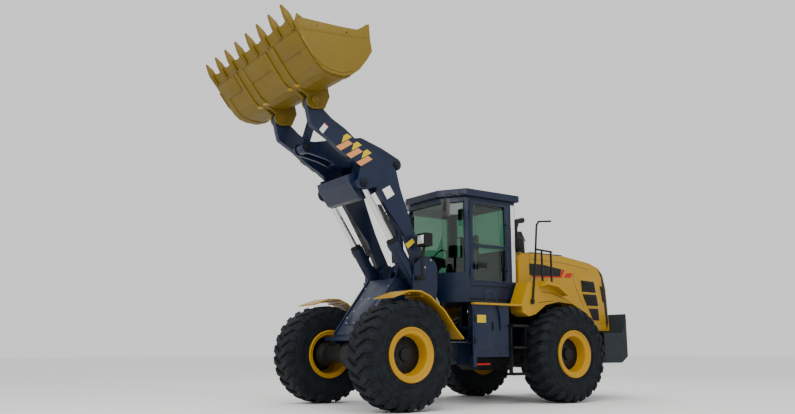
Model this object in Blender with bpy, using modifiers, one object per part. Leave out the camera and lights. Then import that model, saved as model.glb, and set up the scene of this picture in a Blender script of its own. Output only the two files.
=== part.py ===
"""Articulated wheel loader, boom raised and bucket rolled back.

Metres, +Z up. The machine faces -Y and its own left side is +X. The origin lies on the ground,
midway between the axles, on the centre line, where the two frames are hinged together.
Side outlines are (y, z) points; plan outlines are (x, y) points.
"""

import math

import bmesh
import bpy
from mathutils import Matrix, Vector

# Driving sizes
GAP = 0.0003
WHEELBASE = 3.35
TRACK = 2.28
TYRE_RADIUS = 0.79
TYRE_WIDTH = 0.58
BEAD_RADIUS = 0.346
BEAD_HALF = 0.245
FLANGE_RADIUS = 0.388
RIM_WALL = 0.03
WHEEL_STEPS = 28
AXLE_RADIUS = 0.13
AXLE_BULGE = 0.24
AXLE_PAD_TOP = 0.955

HITCH_PIN_RADIUS = 0.05
HITCH_PLATE = 0.06
HITCH_EAR_RADIUS = 0.13
FRAME_BLOCK_HALF = 0.41
CHEEK_IN = 0.645
CHEEK_THICK = 0.03
RAIL_IN = 0.46
RAIL_OUT = 0.54
RAIL_LOW = 0.97
RAIL_SHALLOW = 1.07
RAIL_TOP = 1.25
DECK_THICK = 0.06

ARM_IN = 0.48
ARM_OUT = 0.58
LOBE_OUT = 0.62
BOOM_PIVOT = (-0.85, 2.09)
LIFT_EYE = (-1.987, 3.387)
LIFT_BASE = (-0.71, 1.50)
BUCKET_PIN = (-2.885, 4.51)
ROCKER_PIVOT = (-1.80, 3.78)
ROCKER_FRONT = (-2.72, 3.93)
ROCKER_REAR = (-1.06, 3.89)
LINK_EYE = (-2.49, 4.73)
TILT_BASE = (-0.90, 2.14)
LIFT_X = 0.53
LIFT_BARREL_RADIUS = 0.095
LIFT_ROD_RADIUS = 0.048
TILT_BARREL_RADIUS = 0.105
TILT_ROD_RADIUS = 0.05
EYE_RADIUS = 0.085
LIFT_EYE_HALF = 0.05
TILT_EYE_HALF = 0.065
LINK_EYE_HALF = 0.06
PIN_RADIUS = 0.055
ROCKER_HALF = 0.145
ROCKER_PLATE = 0.045

STEER_BASE = (0.35, 0.85)
STEER_EYE = (0.42, -0.25)
STEER_Z = 1.0
STEER_BARREL_RADIUS = 0.05
STEER_ROD_RADIUS = 0.026
STEER_EYE_HALF = 0.04

BUCKET_HALF = 1.44
BUCKET_SIDE_THICK = 0.03
BUCKET_SKIN = 0.025
BUCKET_TEETH = 8
EAR_THICK = 0.03

CAB_HALF = 0.83
CAB_FLOOR = 1.62
CAB_TOP = 3.36
CAB_WALL = 0.05
CAB_REAR = 0.95
CAB_DOOR_Y = (-0.06, 0.77)
CAB_DOOR_Z = (1.89, 3.31)
GLASS = 0.008
ROOF_THICK = 0.11

TANK_IN = 0.80
TANK_OUT = 1.10
TANK_Z = (0.75, 1.56)
PLATFORM_THICK = 0.03
HOOD_HALF = 0.87
HOOD_WALL = 0.03
HOOD_FRONT = 1.24
HOOD_TOP = 2.50
HOOD_HINGE = (1.235, 2.524)
COWL_LOW = 1.58
DOOR_HINGE = (0.8445, -0.0625)
KNUCKLE_RADIUS = 0.018
FENDER_IN = 0.90
FENDER_OUT = 1.40
FENDER_SKIN = 0.02
FENDER_DECK_OUT = 1.16
TUBE_RADIUS = 0.018

FRONT_AXLE_Y = -WHEELBASE / 2
REAR_AXLE_Y = WHEELBASE / 2

YELLOW = (0.55, 0.30, 0.03)
OCHRE = (0.30, 0.20, 0.04)
NAVY = (0.015, 0.028, 0.05)
SLATE = (0.02, 0.035, 0.045)
RUBBER = (0.012, 0.013, 0.016)
CHROME = (0.7, 0.7, 0.72)
TINT = (0.2, 0.4, 0.36)
DARK = (0.02, 0.02, 0.022)


def clear_scene():
    for obj in list(bpy.data.objects):
        bpy.data.objects.remove(obj, do_unlink=True)


def collection(name, hidden=False):
    made = bpy.data.collections.new(name)
    bpy.context.scene.collection.children.link(made)
    made.hide_render = hidden
    return made


def material(name, colour, roughness=0.45, metallic=0.0):
    made = bpy.data.materials.new(name)
    made.use_nodes = True
    shader = made.node_tree.nodes["Principled BSDF"]
    shader.inputs["Base Color"].default_value = (*colour, 1.0)
    shader.inputs["Roughness"].default_value = roughness
    shader.inputs["Metallic"].default_value = metallic
    return made


def named(obj, name, colour=NAVY, roughness=0.45, metallic=0.0, sharp=35):
    """Gives a finished solid its name and its own material, and shades its round faces smooth."""
    obj.name = name
    obj.data.name = name
    obj.data.materials.clear()
    obj.data.materials.append(material(name, colour, roughness, metallic))
    obj.data.shade_smooth()
    obj.data.set_sharp_from_angle(angle=math.radians(sharp))
    return obj


def object_from(mesh):
    obj = bpy.data.objects.new("piece", mesh)
    PARTS.objects.link(obj)
    return obj


def box(low, high):
    mesh = bpy.data.meshes.new("box")
    form = bmesh.new()
    bmesh.ops.create_cube(form, size=1.0)
    low = Vector(low)
    high = Vector(high)
    size = high - low
    form.transform(Matrix.Translation((low + high) / 2) @ Matrix.Diagonal((*size, 1.0)))
    form.to_mesh(mesh)
    form.free()
    return object_from(mesh)


def bar(start, end, radius, segments=20, end_radius=None):
    """A round bar, or a cone where end_radius differs, from one point to another."""
    start = Vector(start)
    end = Vector(end)
    along = end - start
    mesh = bpy.data.meshes.new("bar")
    form = bmesh.new()
    bmesh.ops.create_cone(
        form,
        cap_ends=True,
        segments=segments,
        radius1=radius,
        radius2=radius if end_radius is None else end_radius,
        depth=along.length,
    )
    turn = along.to_track_quat("Z", "Y").to_matrix().to_4x4()
    form.transform(Matrix.Translation((start + end) / 2) @ turn)
    form.to_mesh(mesh)
    form.free()
    return object_from(mesh)


def meshed(curve_object):
    """Turns a curve object into a closed mesh object in world space."""
    bpy.context.view_layer.update()
    graph = bpy.context.evaluated_depsgraph_get()
    mesh = bpy.data.meshes.new_from_object(curve_object.evaluated_get(graph))
    form = bmesh.new()
    form.from_mesh(mesh)
    form.transform(curve_object.matrix_world)
    bmesh.ops.remove_doubles(form, verts=form.verts, dist=0.00001)
    bmesh.ops.triangulate(form, faces=form.faces)
    bmesh.ops.recalc_face_normals(form, faces=form.faces)
    form.to_mesh(mesh)
    form.free()
    data = curve_object.data
    bpy.data.objects.remove(curve_object)
    bpy.data.curves.remove(data)
    return object_from(mesh)


SIDE = Matrix(((0, 0, 1, 0), (1, 0, 0, 0), (0, 1, 0, 0), (0, 0, 0, 1)))
PLAN = Matrix.Identity(4)
FACE = Matrix(((1, 0, 0, 0), (0, 0, -1, 0), (0, 1, 0, 0), (0, 0, 0, 1)))


def plate(outline, low, high, view=SIDE):
    """A flat outline given thickness. A side outline is (y, z) and runs from x low to high, a plan
    outline is (x, y) and runs in z, and a face outline is (x, z) and runs in y."""
    curve = bpy.data.curves.new("outline", "CURVE")
    curve.dimensions = "2D"
    curve.fill_mode = "BOTH"
    curve.extrude = (high - low) / 2
    spline = curve.splines.new("POLY")
    spline.points.add(len(outline) - 1)
    for point, (u, v) in zip(spline.points, outline):
        point.co = (u, v, 0, 1)
    spline.use_cyclic_u = True
    obj = bpy.data.objects.new("outline", curve)
    PARTS.objects.link(obj)
    middle = (high + low) / 2
    obj.matrix_world = view @ Matrix.Translation((0, 0, -middle if view is FACE else middle))
    return meshed(obj)


def tube(points, radius=TUBE_RADIUS, resolution=1, closed=False):
    curve = bpy.data.curves.new("tube", "CURVE")
    curve.dimensions = "3D"
    curve.bevel_depth = radius
    curve.bevel_resolution = resolution
    curve.use_fill_caps = True
    spline = curve.splines.new("POLY")
    spline.points.add(len(points) - 1)
    for point, place in zip(spline.points, points):
        point.co = (*place, 1)
    spline.use_cyclic_u = closed
    obj = bpy.data.objects.new("tube", curve)
    PARTS.objects.link(obj)
    return meshed(obj)


def turned(profile, centre, steps=WHEEL_STEPS):
    """A closed (radius, offset) profile turned about an axis along X through the centre. The profile runs
    down its outer side, from the largest offset to the least."""
    mesh = bpy.data.meshes.new("profile")
    form = bmesh.new()
    ends = [form.verts.new((radius, 0, offset)) for radius, offset in profile]
    closed = profile[0][0] > 0
    for first, second in zip(ends, ends[1:] + ends[:1] if closed else ends[1:]):
        form.edges.new((first, second))
    form.to_mesh(mesh)
    form.free()
    obj = object_from(mesh)
    screw = obj.modifiers.new("turn", "SCREW")
    screw.steps = steps
    screw.render_steps = steps
    screw.use_merge_vertices = True
    screw.merge_threshold = 0.00005
    screw.use_normal_calculate = True
    bpy.context.view_layer.update()
    graph = bpy.context.evaluated_depsgraph_get()
    solid = bpy.data.meshes.new_from_object(obj.evaluated_get(graph))
    bpy.data.objects.remove(obj)
    form = bmesh.new()
    form.from_mesh(solid)
    form.transform(Matrix.Translation(centre) @ Matrix.Rotation(math.pi / 2, 4, "Y"))
    bmesh.ops.recalc_face_normals(form, faces=form.faces)
    form.to_mesh(solid)
    form.free()
    return object_from(solid)


def arc(centre, radius, start, end, steps=6):
    """Points on a circle from one angle to another, in degrees."""
    angles = [math.radians(start + (end - start) * step / steps) for step in range(steps + 1)]
    return [(centre[0] + radius * math.cos(a), centre[1] + radius * math.sin(a)) for a in angles]


def offset(path, wall):
    """A path moved to its right by the wall, with its corners kept."""
    points = [Vector(point) for point in path]
    moved = []
    for index, point in enumerate(points):
        before = (point - points[index - 1]).normalized() if index else None
        after = (points[index + 1] - point).normalized() if index < len(points) - 1 else None
        along = ((before or after) + (after or before)).normalized()
        normal = Vector((along.y, -along.x))
        half = along.dot(after or before)
        moved.append(tuple(point + normal * wall / max(half, 0.5)))
    return moved


def thick(path, wall):
    """The outline of a bent strip: a path, and the same path moved to its right by the wall."""
    return list(path) + offset(path, wall)[::-1]


def boolean(target, other, operation, solver="EXACT"):
    modifier = target.modifiers.new(operation.lower(), "BOOLEAN")
    modifier.operation = operation
    modifier.solver = solver
    modifier.object = other
    PARTS.objects.unlink(other)
    CUTTERS.objects.link(other)
    other.hide_render = True
    other.display_type = "WIRE"


def united(first, *others, solver="EXACT"):
    for other in others:
        boolean(first, other, "UNION", solver)
    return first


def cut(target, *cutters):
    for cutter in cutters:
        boolean(target, cutter, "DIFFERENCE")
    return target


def at(x, point):
    """A side-outline point placed at x."""
    return (x, point[0], point[1])


def mirrored(obj):
    """A copy of a solid, with what its modifiers join and cut, on the machine's other side."""
    bpy.context.view_layer.update()
    graph = bpy.context.evaluated_depsgraph_get()
    mesh = bpy.data.meshes.new_from_object(obj.evaluated_get(graph))
    form = bmesh.new()
    form.from_mesh(mesh)
    form.transform(Matrix.Diagonal((-1, 1, 1, 1)))
    bmesh.ops.reverse_faces(form, faces=form.faces)
    form.to_mesh(mesh)
    form.free()
    return object_from(mesh)


def pair(build, name, **finish):
    """A piece on the left and its mirror image on the right."""
    left = named(build(), name + "_left", **finish)
    named(mirrored(left), name + "_right", **finish)


# Wheels and axles


def tyre(centre):
    half = TYRE_WIDTH / 2
    outer = [
        (BEAD_RADIUS, BEAD_HALF),
        (BEAD_RADIUS + 0.07, BEAD_HALF + 0.012),
        (0.50, half - 0.01),
        (0.58, half),
        (0.68, half - 0.006),
        (TYRE_RADIUS - 0.022, half - 0.035),
        (TYRE_RADIUS, half - 0.09),
    ]
    profile = outer + [(radius, -offset) for radius, offset in reversed(outer)]
    return turned(profile, centre)


def rim(centre, side):
    flange = BEAD_HALF + GAP
    seat = BEAD_RADIUS - GAP
    bore = seat - RIM_WALL
    profile = [
        (0, 0.10),
        (0.13, 0.10),
        (0.15, 0.08),
        (0.15, 0.03),
        (0.26, 0.02),
        (0.285, 0.06),
        (bore, flange),
        (FLANGE_RADIUS - 0.012, flange + 0.03),
        (FLANGE_RADIUS, flange + 0.011),
        (seat, flange),
        (seat, -flange),
        (FLANGE_RADIUS, -flange - 0.011),
        (bore, -flange),
        (0.285, -0.02),
        (0.15, -0.03),
        (0, -0.03),
    ]
    made = turned(profile, (0, 0, 0))
    turn = Matrix.Rotation(0 if side > 0 else math.pi, 4, "Z")
    made.data.transform(Matrix.Translation(centre) @ turn)
    return made


def wheels():
    for end, y in (("front", FRONT_AXLE_Y), ("rear", REAR_AXLE_Y)):
        for side, sign in (("left", 1), ("right", -1)):
            centre = (sign * TRACK / 2, y, TYRE_RADIUS)
            named(tyre(centre), f"tyre_{end}_{side}", colour=RUBBER, roughness=0.85)
            named(rim(centre, sign), f"rim_{end}_{side}", colour=YELLOW, roughness=0.4)


def axle(y, pad_top):
    """Axle housing with its drive bulge and its two pads under the frame."""
    tip = TRACK / 2 - 0.03 - GAP
    profile = [
        (0, tip),
        (0.11, tip),
        (0.11, tip - 0.05),
        (0.2, tip - 0.05),
        (0.2, tip - 0.11),
        (AXLE_RADIUS, tip - 0.2),
        (AXLE_RADIUS, 0.34),
        (AXLE_BULGE, 0.16),
    ]
    profile += [(radius, -offset) for radius, offset in reversed(profile)]
    housing = turned(profile, (0, y, TYRE_RADIUS), 20)
    low = TYRE_RADIUS - 0.013
    pads = [
        box((x - 0.09, y - 0.11, low), (x + 0.09, y + 0.11, pad_top - GAP))
        for x in (0.45, -0.45)
    ]
    return united(housing, *pads)


# Front frame


def steering_ears(x_span, y_span):
    """The two plates that hold a steering cylinder's eye between them."""
    half = STEER_EYE_HALF + GAP
    return [
        box((x_span[0], y_span[0], low), (x_span[1], y_span[1], low + 0.03))
        for low in (STEER_Z - half - 0.03, STEER_Z + half)
    ]


def front_frame():
    block_side = [
        (-1.88, 1.10),
        (-1.88, AXLE_PAD_TOP),
        (-1.40, AXLE_PAD_TOP),
        (-1.30, 0.56),
        (-0.30, 0.52),
        (-0.30, 1.27),
        (-0.63, 1.45),
        (-0.63, 1.96),
        (-1.20, 1.98),
        (-1.238, 1.975),
    ]
    block = plate(block_side, -FRAME_BLOCK_HALF, FRAME_BLOCK_HALF)
    tunnel = box((-0.36, -2.0, 0.9), (0.36, -1.37, TYRE_RADIUS + AXLE_BULGE + 0.01))
    # Each steering ram's eye has room to turn in a pocket of the block's rear face.
    reach = STEER_EYE_HALF + GAP
    pockets = [
        box((low, -0.385, STEER_Z - reach), (low + 0.125, -0.25, STEER_Z + reach))
        for low in (0.295, -0.42)
    ]
    nose = box((-0.60, -1.93, 1.00), (0.60, -1.83, 1.06))
    cheek_side = [
        (-1.10, 1.20),
        (-0.68, 1.28),
        (-0.66, 1.62),
        (-0.63, 1.80),
        (-0.63, 2.15),
        *arc(BOOM_PIVOT, 0.23, 20, 115, 5),
        (-1.085, 2.16),
        (-1.10, 1.80),
        (-1.22, 1.62),
    ]
    inner_side = [
        (-0.72, 1.90),
        *arc(BOOM_PIVOT, 0.17, 0, 180, 7),
        (-1.06, 1.90),
    ]
    pieces = [nose]
    for sign in (1, -1):
        cheek = (CHEEK_IN, CHEEK_IN + CHEEK_THICK)
        pieces.append(plate(cheek_side, *sorted(sign * x for x in cheek)))
        pad = sorted(sign * x for x in (0.37, 0.55))
        pieces.append(box((pad[0], -1.83, AXLE_PAD_TOP), (pad[1], -1.52, AXLE_PAD_TOP + 0.07)))
        inner = (FRAME_BLOCK_HALF - 0.035, FRAME_BLOCK_HALF - 0.001)
        pieces.append(plate(inner_side, *sorted(sign * x for x in inner)))
        # The cross tie that carries the outer cheek lies below the lift cylinder.
        tie = sorted(sign * x for x in (FRAME_BLOCK_HALF - 0.02, CHEEK_IN + 0.01))
        pieces.append(box((tie[0], -1.05, 1.21), (tie[1], -0.72, 1.29)))
        for point in (BOOM_PIVOT, LIFT_BASE):
            for start, end in ((CHEEK_IN + 0.01, ARM_OUT + GAP), (FRAME_BLOCK_HALF - 0.01, ARM_IN - GAP)):
                pieces.append(bar(at(sign * start, point), at(sign * end, point), PIN_RADIUS))
        pieces += steering_ears(sorted(sign * x for x in (0.36, STEER_EYE[0] + 0.05)), (-0.36, -0.20))
    for low in (0.54, 1.19):
        ear_plan = [(-0.2, -0.34), (0.2, -0.34)] + arc((0, 0), HITCH_EAR_RADIUS, 0, 180, 8)
        pieces.append(plate(ear_plan, low, low + HITCH_PLATE, PLAN))
    pieces.append(bar((0, 0, 0.50), (0, 0, 1.27), HITCH_PIN_RADIUS))
    # The upper ear bears on the rear frame's through this collar.
    pieces.append(bar((0, 0, 1.17 + GAP), (0, 0, 1.20), 0.09))
    for sign in (1, -1):
        base_ear = arc(TILT_BASE, 0.1, 0, 180, 6) + [(-1.06, 1.93), (-0.74, 1.93)]
        ear = sorted(sign * x for x in (TILT_EYE_HALF + GAP, TILT_EYE_HALF + 0.035))
        pieces.append(plate(base_ear, *ear))
    return united(cut(block, tunnel, *pockets), *pieces)


def front_fender():
    """Curved guard over the front tyre, with its foot on the frame."""
    path = [
        (-0.70, 1.03),
        (-0.85, 1.18),
        (-1.055, 1.43),
        (-1.33, 1.64),
        (-1.50, 1.705),
        (-1.70, 1.70),
        (-1.99, 1.60),
    ]
    guard = plate(thick(path, -FENDER_SKIN), FENDER_IN, FENDER_OUT)
    web = box((CHEEK_IN + CHEEK_THICK + GAP, -1.24, 1.49), (FENDER_IN + 0.02, -1.14, 1.58))
    return united(guard, web)


def headlamp():
    """Work lamp on a post beside the tower."""
    cheek_out = CHEEK_IN + CHEEK_THICK + GAP
    post = tube([(0.80, -1.02, 1.95), (0.80, -1.03, 2.20), (0.80, -0.98, 2.46)], 0.022)
    foot = box((cheek_out, -1.06, 1.93), (0.83, -0.98, 1.99))
    case = box((0.69, -1.05, 2.45), (0.91, -0.90, 2.65))
    return united(case, post, foot)


# Boom and linkage


def boom_arm():
    outline = [
        *arc(BUCKET_PIN, 0.11, 60, 185, 6),
        (-2.94, 4.28),
        (-2.90, 4.15),
        (-2.617, 3.997),
        (-2.387, 3.832),
        (-2.19, 3.736),
        (-1.952, 3.581),
        (-1.71, 3.296),
        (-1.482, 2.973),
        (-1.194, 2.635),
        (-1.039, 2.298),
        *arc(BOOM_PIVOT, 0.105, 170, 360, 6),
        (-0.78, 2.27),
        (-0.919, 2.53),
        (-1.056, 2.808),
        (-1.213, 3.195),
        (-1.29, 3.40),
        (-1.36, 3.66),
        (-1.50, 3.78),
        (-1.80, 3.90),
        (-2.122, 4.048),
        (-2.322, 4.189),
        (-2.554, 4.306),
        (-2.70, 4.42),
    ]
    arm = plate(outline, ARM_IN, ARM_OUT)
    lobe_side = [
        *arc(LIFT_EYE, 0.12, 150, 300, 7),
        (-1.70, 3.36),
        (-1.60, 3.52),
        (-1.85, 3.68),
        (-2.06, 3.60),
    ]
    lobe = plate(lobe_side, LIFT_X + LIFT_EYE_HALF + GAP, LOBE_OUT)
    spacer_side = [(-1.72, 3.40), (-1.60, 3.52), (-1.85, 3.68), (-1.92, 3.60)]
    spacer = plate(spacer_side, ARM_OUT - 0.02, LOBE_OUT - 0.01)
    cap = bar(at(LOBE_OUT - 0.002, LIFT_EYE), at(LOBE_OUT + 0.022, LIFT_EYE), 0.075)
    return united(arm, spacer, lobe, cap)


def boom_crossbeam():
    """Box beam between the arms, with the ears of the rocker and of the lift cylinders."""
    section = [
        (-2.20, 3.50),
        (-2.17, 3.39),
        (-1.99, 3.16),
        (-1.91, 3.14),
        (-1.70, 3.28),
        (-1.68, 3.36),
        (-1.82, 3.58),
        (-1.93, 3.62),
    ]
    half = LIFT_X - LIFT_EYE_HALF - GAP
    beam = plate(section, -half, half)
    ears = []
    for sign in (1, -1):
        side = [(-1.95, 3.50), *arc(ROCKER_PIVOT, 0.12, 180, 0, 6), (-1.72, 3.40)]
        low, high = sorted(sign * x for x in (0.16, 0.195))
        ears.append(plate(side, low, high))
        ears.append(bar(at(sign * 0.17, ROCKER_PIVOT), at(sign * (ROCKER_HALF + GAP), ROCKER_PIVOT), 0.09))
    pin = bar(at(-0.18, ROCKER_PIVOT), at(0.18, ROCKER_PIVOT), PIN_RADIUS)
    return united(beam, pin, *ears)


def rocker():
    """Bell crank: two plates joined by a web, open at both ends."""
    outline = [
        *arc(ROCKER_FRONT, 0.10, 110, 290, 6),
        (-2.40, 3.79),
        (-2.10, 3.70),
        *arc(ROCKER_PIVOT, 0.115, 215, 325, 4),
        (-1.45, 3.70),
        (-1.15, 3.76),
        *arc(ROCKER_REAR, 0.105, 260, 420, 6),
        (-1.35, 4.12),
        (-1.754, 4.235),
        (-2.25, 4.12),
        (-2.60, 4.03),
    ]
    web_side = [(-2.20, 3.74), (-2.30, 4.09), (-1.754, 4.22), (-1.45, 4.13), (-1.42, 3.75), (-1.80, 3.675)]
    inner = ROCKER_HALF - ROCKER_PLATE
    plates = [plate(outline, inner, ROCKER_HALF), plate(outline, -ROCKER_HALF, -inner)]
    web = plate(web_side, -inner - 0.01, inner + 0.01)
    pins = []
    for sign in (1, -1):
        for point, reach in ((ROCKER_FRONT, LINK_EYE_HALF), (ROCKER_REAR, TILT_EYE_HALF)):
            pins.append(bar(at(sign * (inner + 0.01), point), at(sign * (reach + GAP), point), PIN_RADIUS))
    hole = bar(at(-0.2, ROCKER_PIVOT), at(0.2, ROCKER_PIVOT), PIN_RADIUS + 0.004)
    return cut(united(web, *plates, *pins), hole)


def bucket_link():
    """Straight link from the rocker to the bucket's middle ears."""
    low = bar(at(-LINK_EYE_HALF, ROCKER_FRONT), at(LINK_EYE_HALF, ROCKER_FRONT), EYE_RADIUS)
    high = bar(at(-LINK_EYE_HALF, LINK_EYE), at(LINK_EYE_HALF, LINK_EYE), 0.075)
    along = Vector((LINK_EYE[0] - ROCKER_FRONT[0], LINK_EYE[1] - ROCKER_FRONT[1])).normalized()
    wide = Vector((-along.y, along.x)) * 0.055
    ends = [Vector(ROCKER_FRONT), Vector(LINK_EYE)]
    outline = [tuple(ends[0] - wide), tuple(ends[0] + wide), tuple(ends[1] + wide), tuple(ends[1] - wide)]
    return united(plate(outline, -0.05, 0.05), low, high)


def cylinder_pair(base, eye, x, barrel_share, foot, barrel_radius, rod_radius, half):
    """Barrel and rod of a ram in a side plane. The barrel is bored, and the rod slides in the bore."""
    base = Vector(at(x, base))
    eye = Vector(at(x, eye))
    along = (eye - base).normalized()
    mouth = base.lerp(eye, barrel_share)
    barrel = bar(base + along * foot, mouth, barrel_radius)
    neck = bar(base, base + along * (foot + 0.03), half - 0.002)
    gland = bar(mouth - along * 0.09, mouth + along * 0.015, barrel_radius + 0.01)
    low_eye = bar(base - Vector((half, 0, 0)), base + Vector((half, 0, 0)), EYE_RADIUS)
    bore = bar(base + along * (foot + 0.06), mouth + along * 0.1, rod_radius + 0.002, 16)
    barrel = cut(united(barrel, gland, neck, low_eye), bore)
    rod = bar(mouth - along * 0.25, eye - along * 0.03, rod_radius, 16)
    high_eye = bar(eye - Vector((half, 0, 0)), eye + Vector((half, 0, 0)), EYE_RADIUS - 0.005)
    return barrel, united(high_eye, rod)


def lift_cylinders():
    sizes = (LIFT_BARREL_RADIUS, LIFT_ROD_RADIUS, LIFT_EYE_HALF)
    barrel, rod = cylinder_pair(LIFT_BASE, LIFT_EYE, LIFT_X, 0.53, 0.07, *sizes)
    named(barrel, "lift_barrel_left")
    named(rod, "lift_rod_left", colour=CHROME, roughness=0.2, metallic=1.0)
    named(mirrored(barrel), "lift_barrel_right")
    named(mirrored(rod), "lift_rod_right", colour=CHROME, roughness=0.2, metallic=1.0)


def tilt_cylinder():
    sizes = (TILT_BARREL_RADIUS, TILT_ROD_RADIUS, TILT_EYE_HALF)
    barrel, rod = cylinder_pair(TILT_BASE, ROCKER_REAR, 0.0, 0.66, 0.13, *sizes)
    named(barrel, "tilt_barrel")
    named(rod, "tilt_rod", colour=CHROME, roughness=0.2, metallic=1.0)


def steering_cylinders():
    base = Vector((*STEER_BASE, STEER_Z))
    eye = Vector((*STEER_EYE, STEER_Z))
    along = (eye - base).normalized()
    mouth = base + along * 0.66
    rise = Vector((0, 0, STEER_EYE_HALF))
    barrel = bar(base + along * 0.09, mouth, STEER_BARREL_RADIUS, 16)
    neck = bar(base, base + along * 0.11, STEER_EYE_HALF - 0.002, 16)
    low_eye = bar(base - rise, base + rise, 0.055, 16)
    bore = bar(base + along * 0.13, mouth + along * 0.1, STEER_ROD_RADIUS + 0.002, 12)
    barrel = cut(united(barrel, neck, low_eye), bore)
    rod = bar(mouth - along * 0.28, eye - along * 0.02, STEER_ROD_RADIUS, 12)
    rod = united(bar(eye - rise, eye + rise, 0.05, 16), rod)
    named(barrel, "steer_barrel_left")
    named(rod, "steer_rod_left", colour=CHROME, roughness=0.2, metallic=1.0)
    named(mirrored(barrel), "steer_barrel_right")
    named(mirrored(rod), "steer_rod_right", colour=CHROME, roughness=0.2, metallic=1.0)


# Bucket

BUCKET_OUTER = [
    (-3.66, 5.235),
    (-3.609, 5.164),
    (-3.449, 4.955),
    (-3.29, 4.76),
    (-3.19, 4.685),
    (-3.07, 4.652),
    (-2.876, 4.648),
    (-2.73, 4.70),
    (-2.61, 4.80),
    (-2.48, 4.98),
    (-2.395, 5.13),
    (-2.43, 5.30),
    (-2.455, 5.54),
]


def bucket_shell():
    """Bent floor and back, with the ears that hold the arms and the link."""
    inside = BUCKET_HALF - BUCKET_SIDE_THICK - GAP
    path = BUCKET_OUTER[1:]
    wrapper = plate(thick(path, -BUCKET_SKIN), -inside, inside)
    ear_side = [
        *arc(BUCKET_PIN, 0.12, 150, 290, 6),
        (-2.70, 4.42),
        (-2.62, 4.62),
        (-2.66, 4.78),
        (-2.80, 4.69),
        (-3.00, 4.665),
        (-3.20, 4.72),
        (-3.26, 4.755),
    ]
    middle_side = [*arc(LINK_EYE, 0.09, -126, 54, 6), (-2.49, 4.985), (-2.615, 4.812), (-2.70, 4.732)]
    pieces = []
    for sign in (1, -1):
        for face, away in ((ARM_IN, -1), (ARM_OUT, 1)):
            inner = face + away * 0.008
            outer = inner + away * EAR_THICK
            pieces.append(plate(ear_side, *sorted((sign * inner, sign * outer))))
            ends = (sign * (outer + away * 0.02), sign * (face + away * GAP))
            pieces.append(bar(at(ends[0], BUCKET_PIN), at(ends[1], BUCKET_PIN), 0.075))
        low = LINK_EYE_HALF + GAP
        pieces.append(plate(middle_side, *sorted((sign * low, sign * (low + EAR_THICK)))))
    return united(wrapper, *pieces)


def bucket_side():
    """Side plate with its cutting front."""
    outline = BUCKET_OUTER + [(-2.66, 5.40), (-2.95, 5.375), (-3.54, 5.35), (-3.631, 5.399)]
    return plate(outline, BUCKET_HALF - BUCKET_SIDE_THICK, BUCKET_HALF)


def bucket_edge():
    """Cutting edge with its row of teeth."""
    along = (Vector(BUCKET_OUTER[0]) - Vector(BUCKET_OUTER[2])).normalized()
    inward = Vector((-along.y, along.x))
    if inward.x < 0:
        inward = -inward
    root = Vector(BUCKET_OUTER[1]) + along * GAP
    front = root + along * 0.13
    edge_side = [tuple(root), tuple(root + inward * 0.035), tuple(front + inward * 0.012), tuple(front)]
    edge = plate(edge_side, -BUCKET_HALF + BUCKET_SIDE_THICK + GAP, BUCKET_HALF - BUCKET_SIDE_THICK - GAP)
    tooth_side = [
        tuple(root + along * 0.05 - inward * 0.02),
        tuple(root + along * 0.05 + inward * 0.06),
        tuple(root + along * 0.20 + inward * 0.055),
        tuple(root + along * 0.40 + inward * 0.018),
        tuple(root + along * 0.40 + inward * 0.002),
        tuple(root + along * 0.20 - inward * 0.03),
    ]
    first = BUCKET_HALF - BUCKET_SIDE_THICK - 0.055
    pitch = 2 * first / (BUCKET_TEETH - 1)
    teeth = [
        plate(tooth_side, -first + pitch * index - 0.045, -first + pitch * index + 0.045)
        for index in range(BUCKET_TEETH)
    ]
    return united(edge, *teeth)


# Rear frame and what it carries


def rear_frame():
    deck = box((-RAIL_OUT, 0.17, RAIL_TOP - DECK_THICK), (RAIL_OUT, 1.10, RAIL_TOP))
    pieces = [box((-0.20, 0.17, 0.62), (0.20, 0.45, RAIL_TOP - 0.01))]
    for sign in (1, -1):
        low, high = sorted((sign * RAIL_IN, sign * RAIL_OUT))
        # The rail is shallow over the steering ram, which swings below it, and deep behind.
        pieces.append(box((low, 0.17, RAIL_SHALLOW), (high, 0.80, RAIL_TOP - 0.005)))
        pieces.append(box((low, 0.75, RAIL_LOW), (high, 2.78 - GAP, RAIL_TOP - 0.005)))
        ear = sorted(sign * x for x in (0.32, RAIL_IN + 0.02))
        pieces += steering_ears(ear, (0.78, 0.93))
        web = sorted(sign * x for x in (RAIL_IN - 0.01, RAIL_IN + 0.03))
        pieces.append(box((web[0], 0.79, STEER_Z - 0.065), (web[1], 0.92, RAIL_LOW + 0.02)))
        arm = sorted(sign * x for x in (RAIL_OUT - 0.02, TANK_IN - GAP))
        pieces.append(box((arm[0], 0.25, RAIL_SHALLOW + 0.04), (arm[1], 0.40, RAIL_SHALLOW + 0.14)))
        for y in (0.22, 0.80):
            post = sorted(sign * x for x in (0.42, 0.52))
            pieces.append(box((post[0], y, RAIL_TOP - 0.02), (post[1], y + 0.12, CAB_FLOOR - GAP)))
    pieces.append(box((-RAIL_IN - 0.02, 2.60, RAIL_LOW + 0.02), (RAIL_IN + 0.02, 2.70, RAIL_TOP - 0.02)))
    # The bulkhead that carries the fixed section of the hood.
    pieces.append(box((-0.50, 1.0, RAIL_TOP - 0.02), (0.50, 1.09, COWL_LOW - GAP)))
    ear_plan = arc((0, 0), HITCH_EAR_RADIUS, 180, 360, 8) + [(0.2, 0.25), (-0.2, 0.25)]
    for low in (0.62, 1.11):
        pieces.append(plate(ear_plan, low, low + HITCH_PLATE, PLAN))
    pin_hole = bar((0, 0, 0.5), (0, 0, 1.185), HITCH_PIN_RADIUS + 0.002)
    return cut(united(deck, *pieces), pin_hole)


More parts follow.
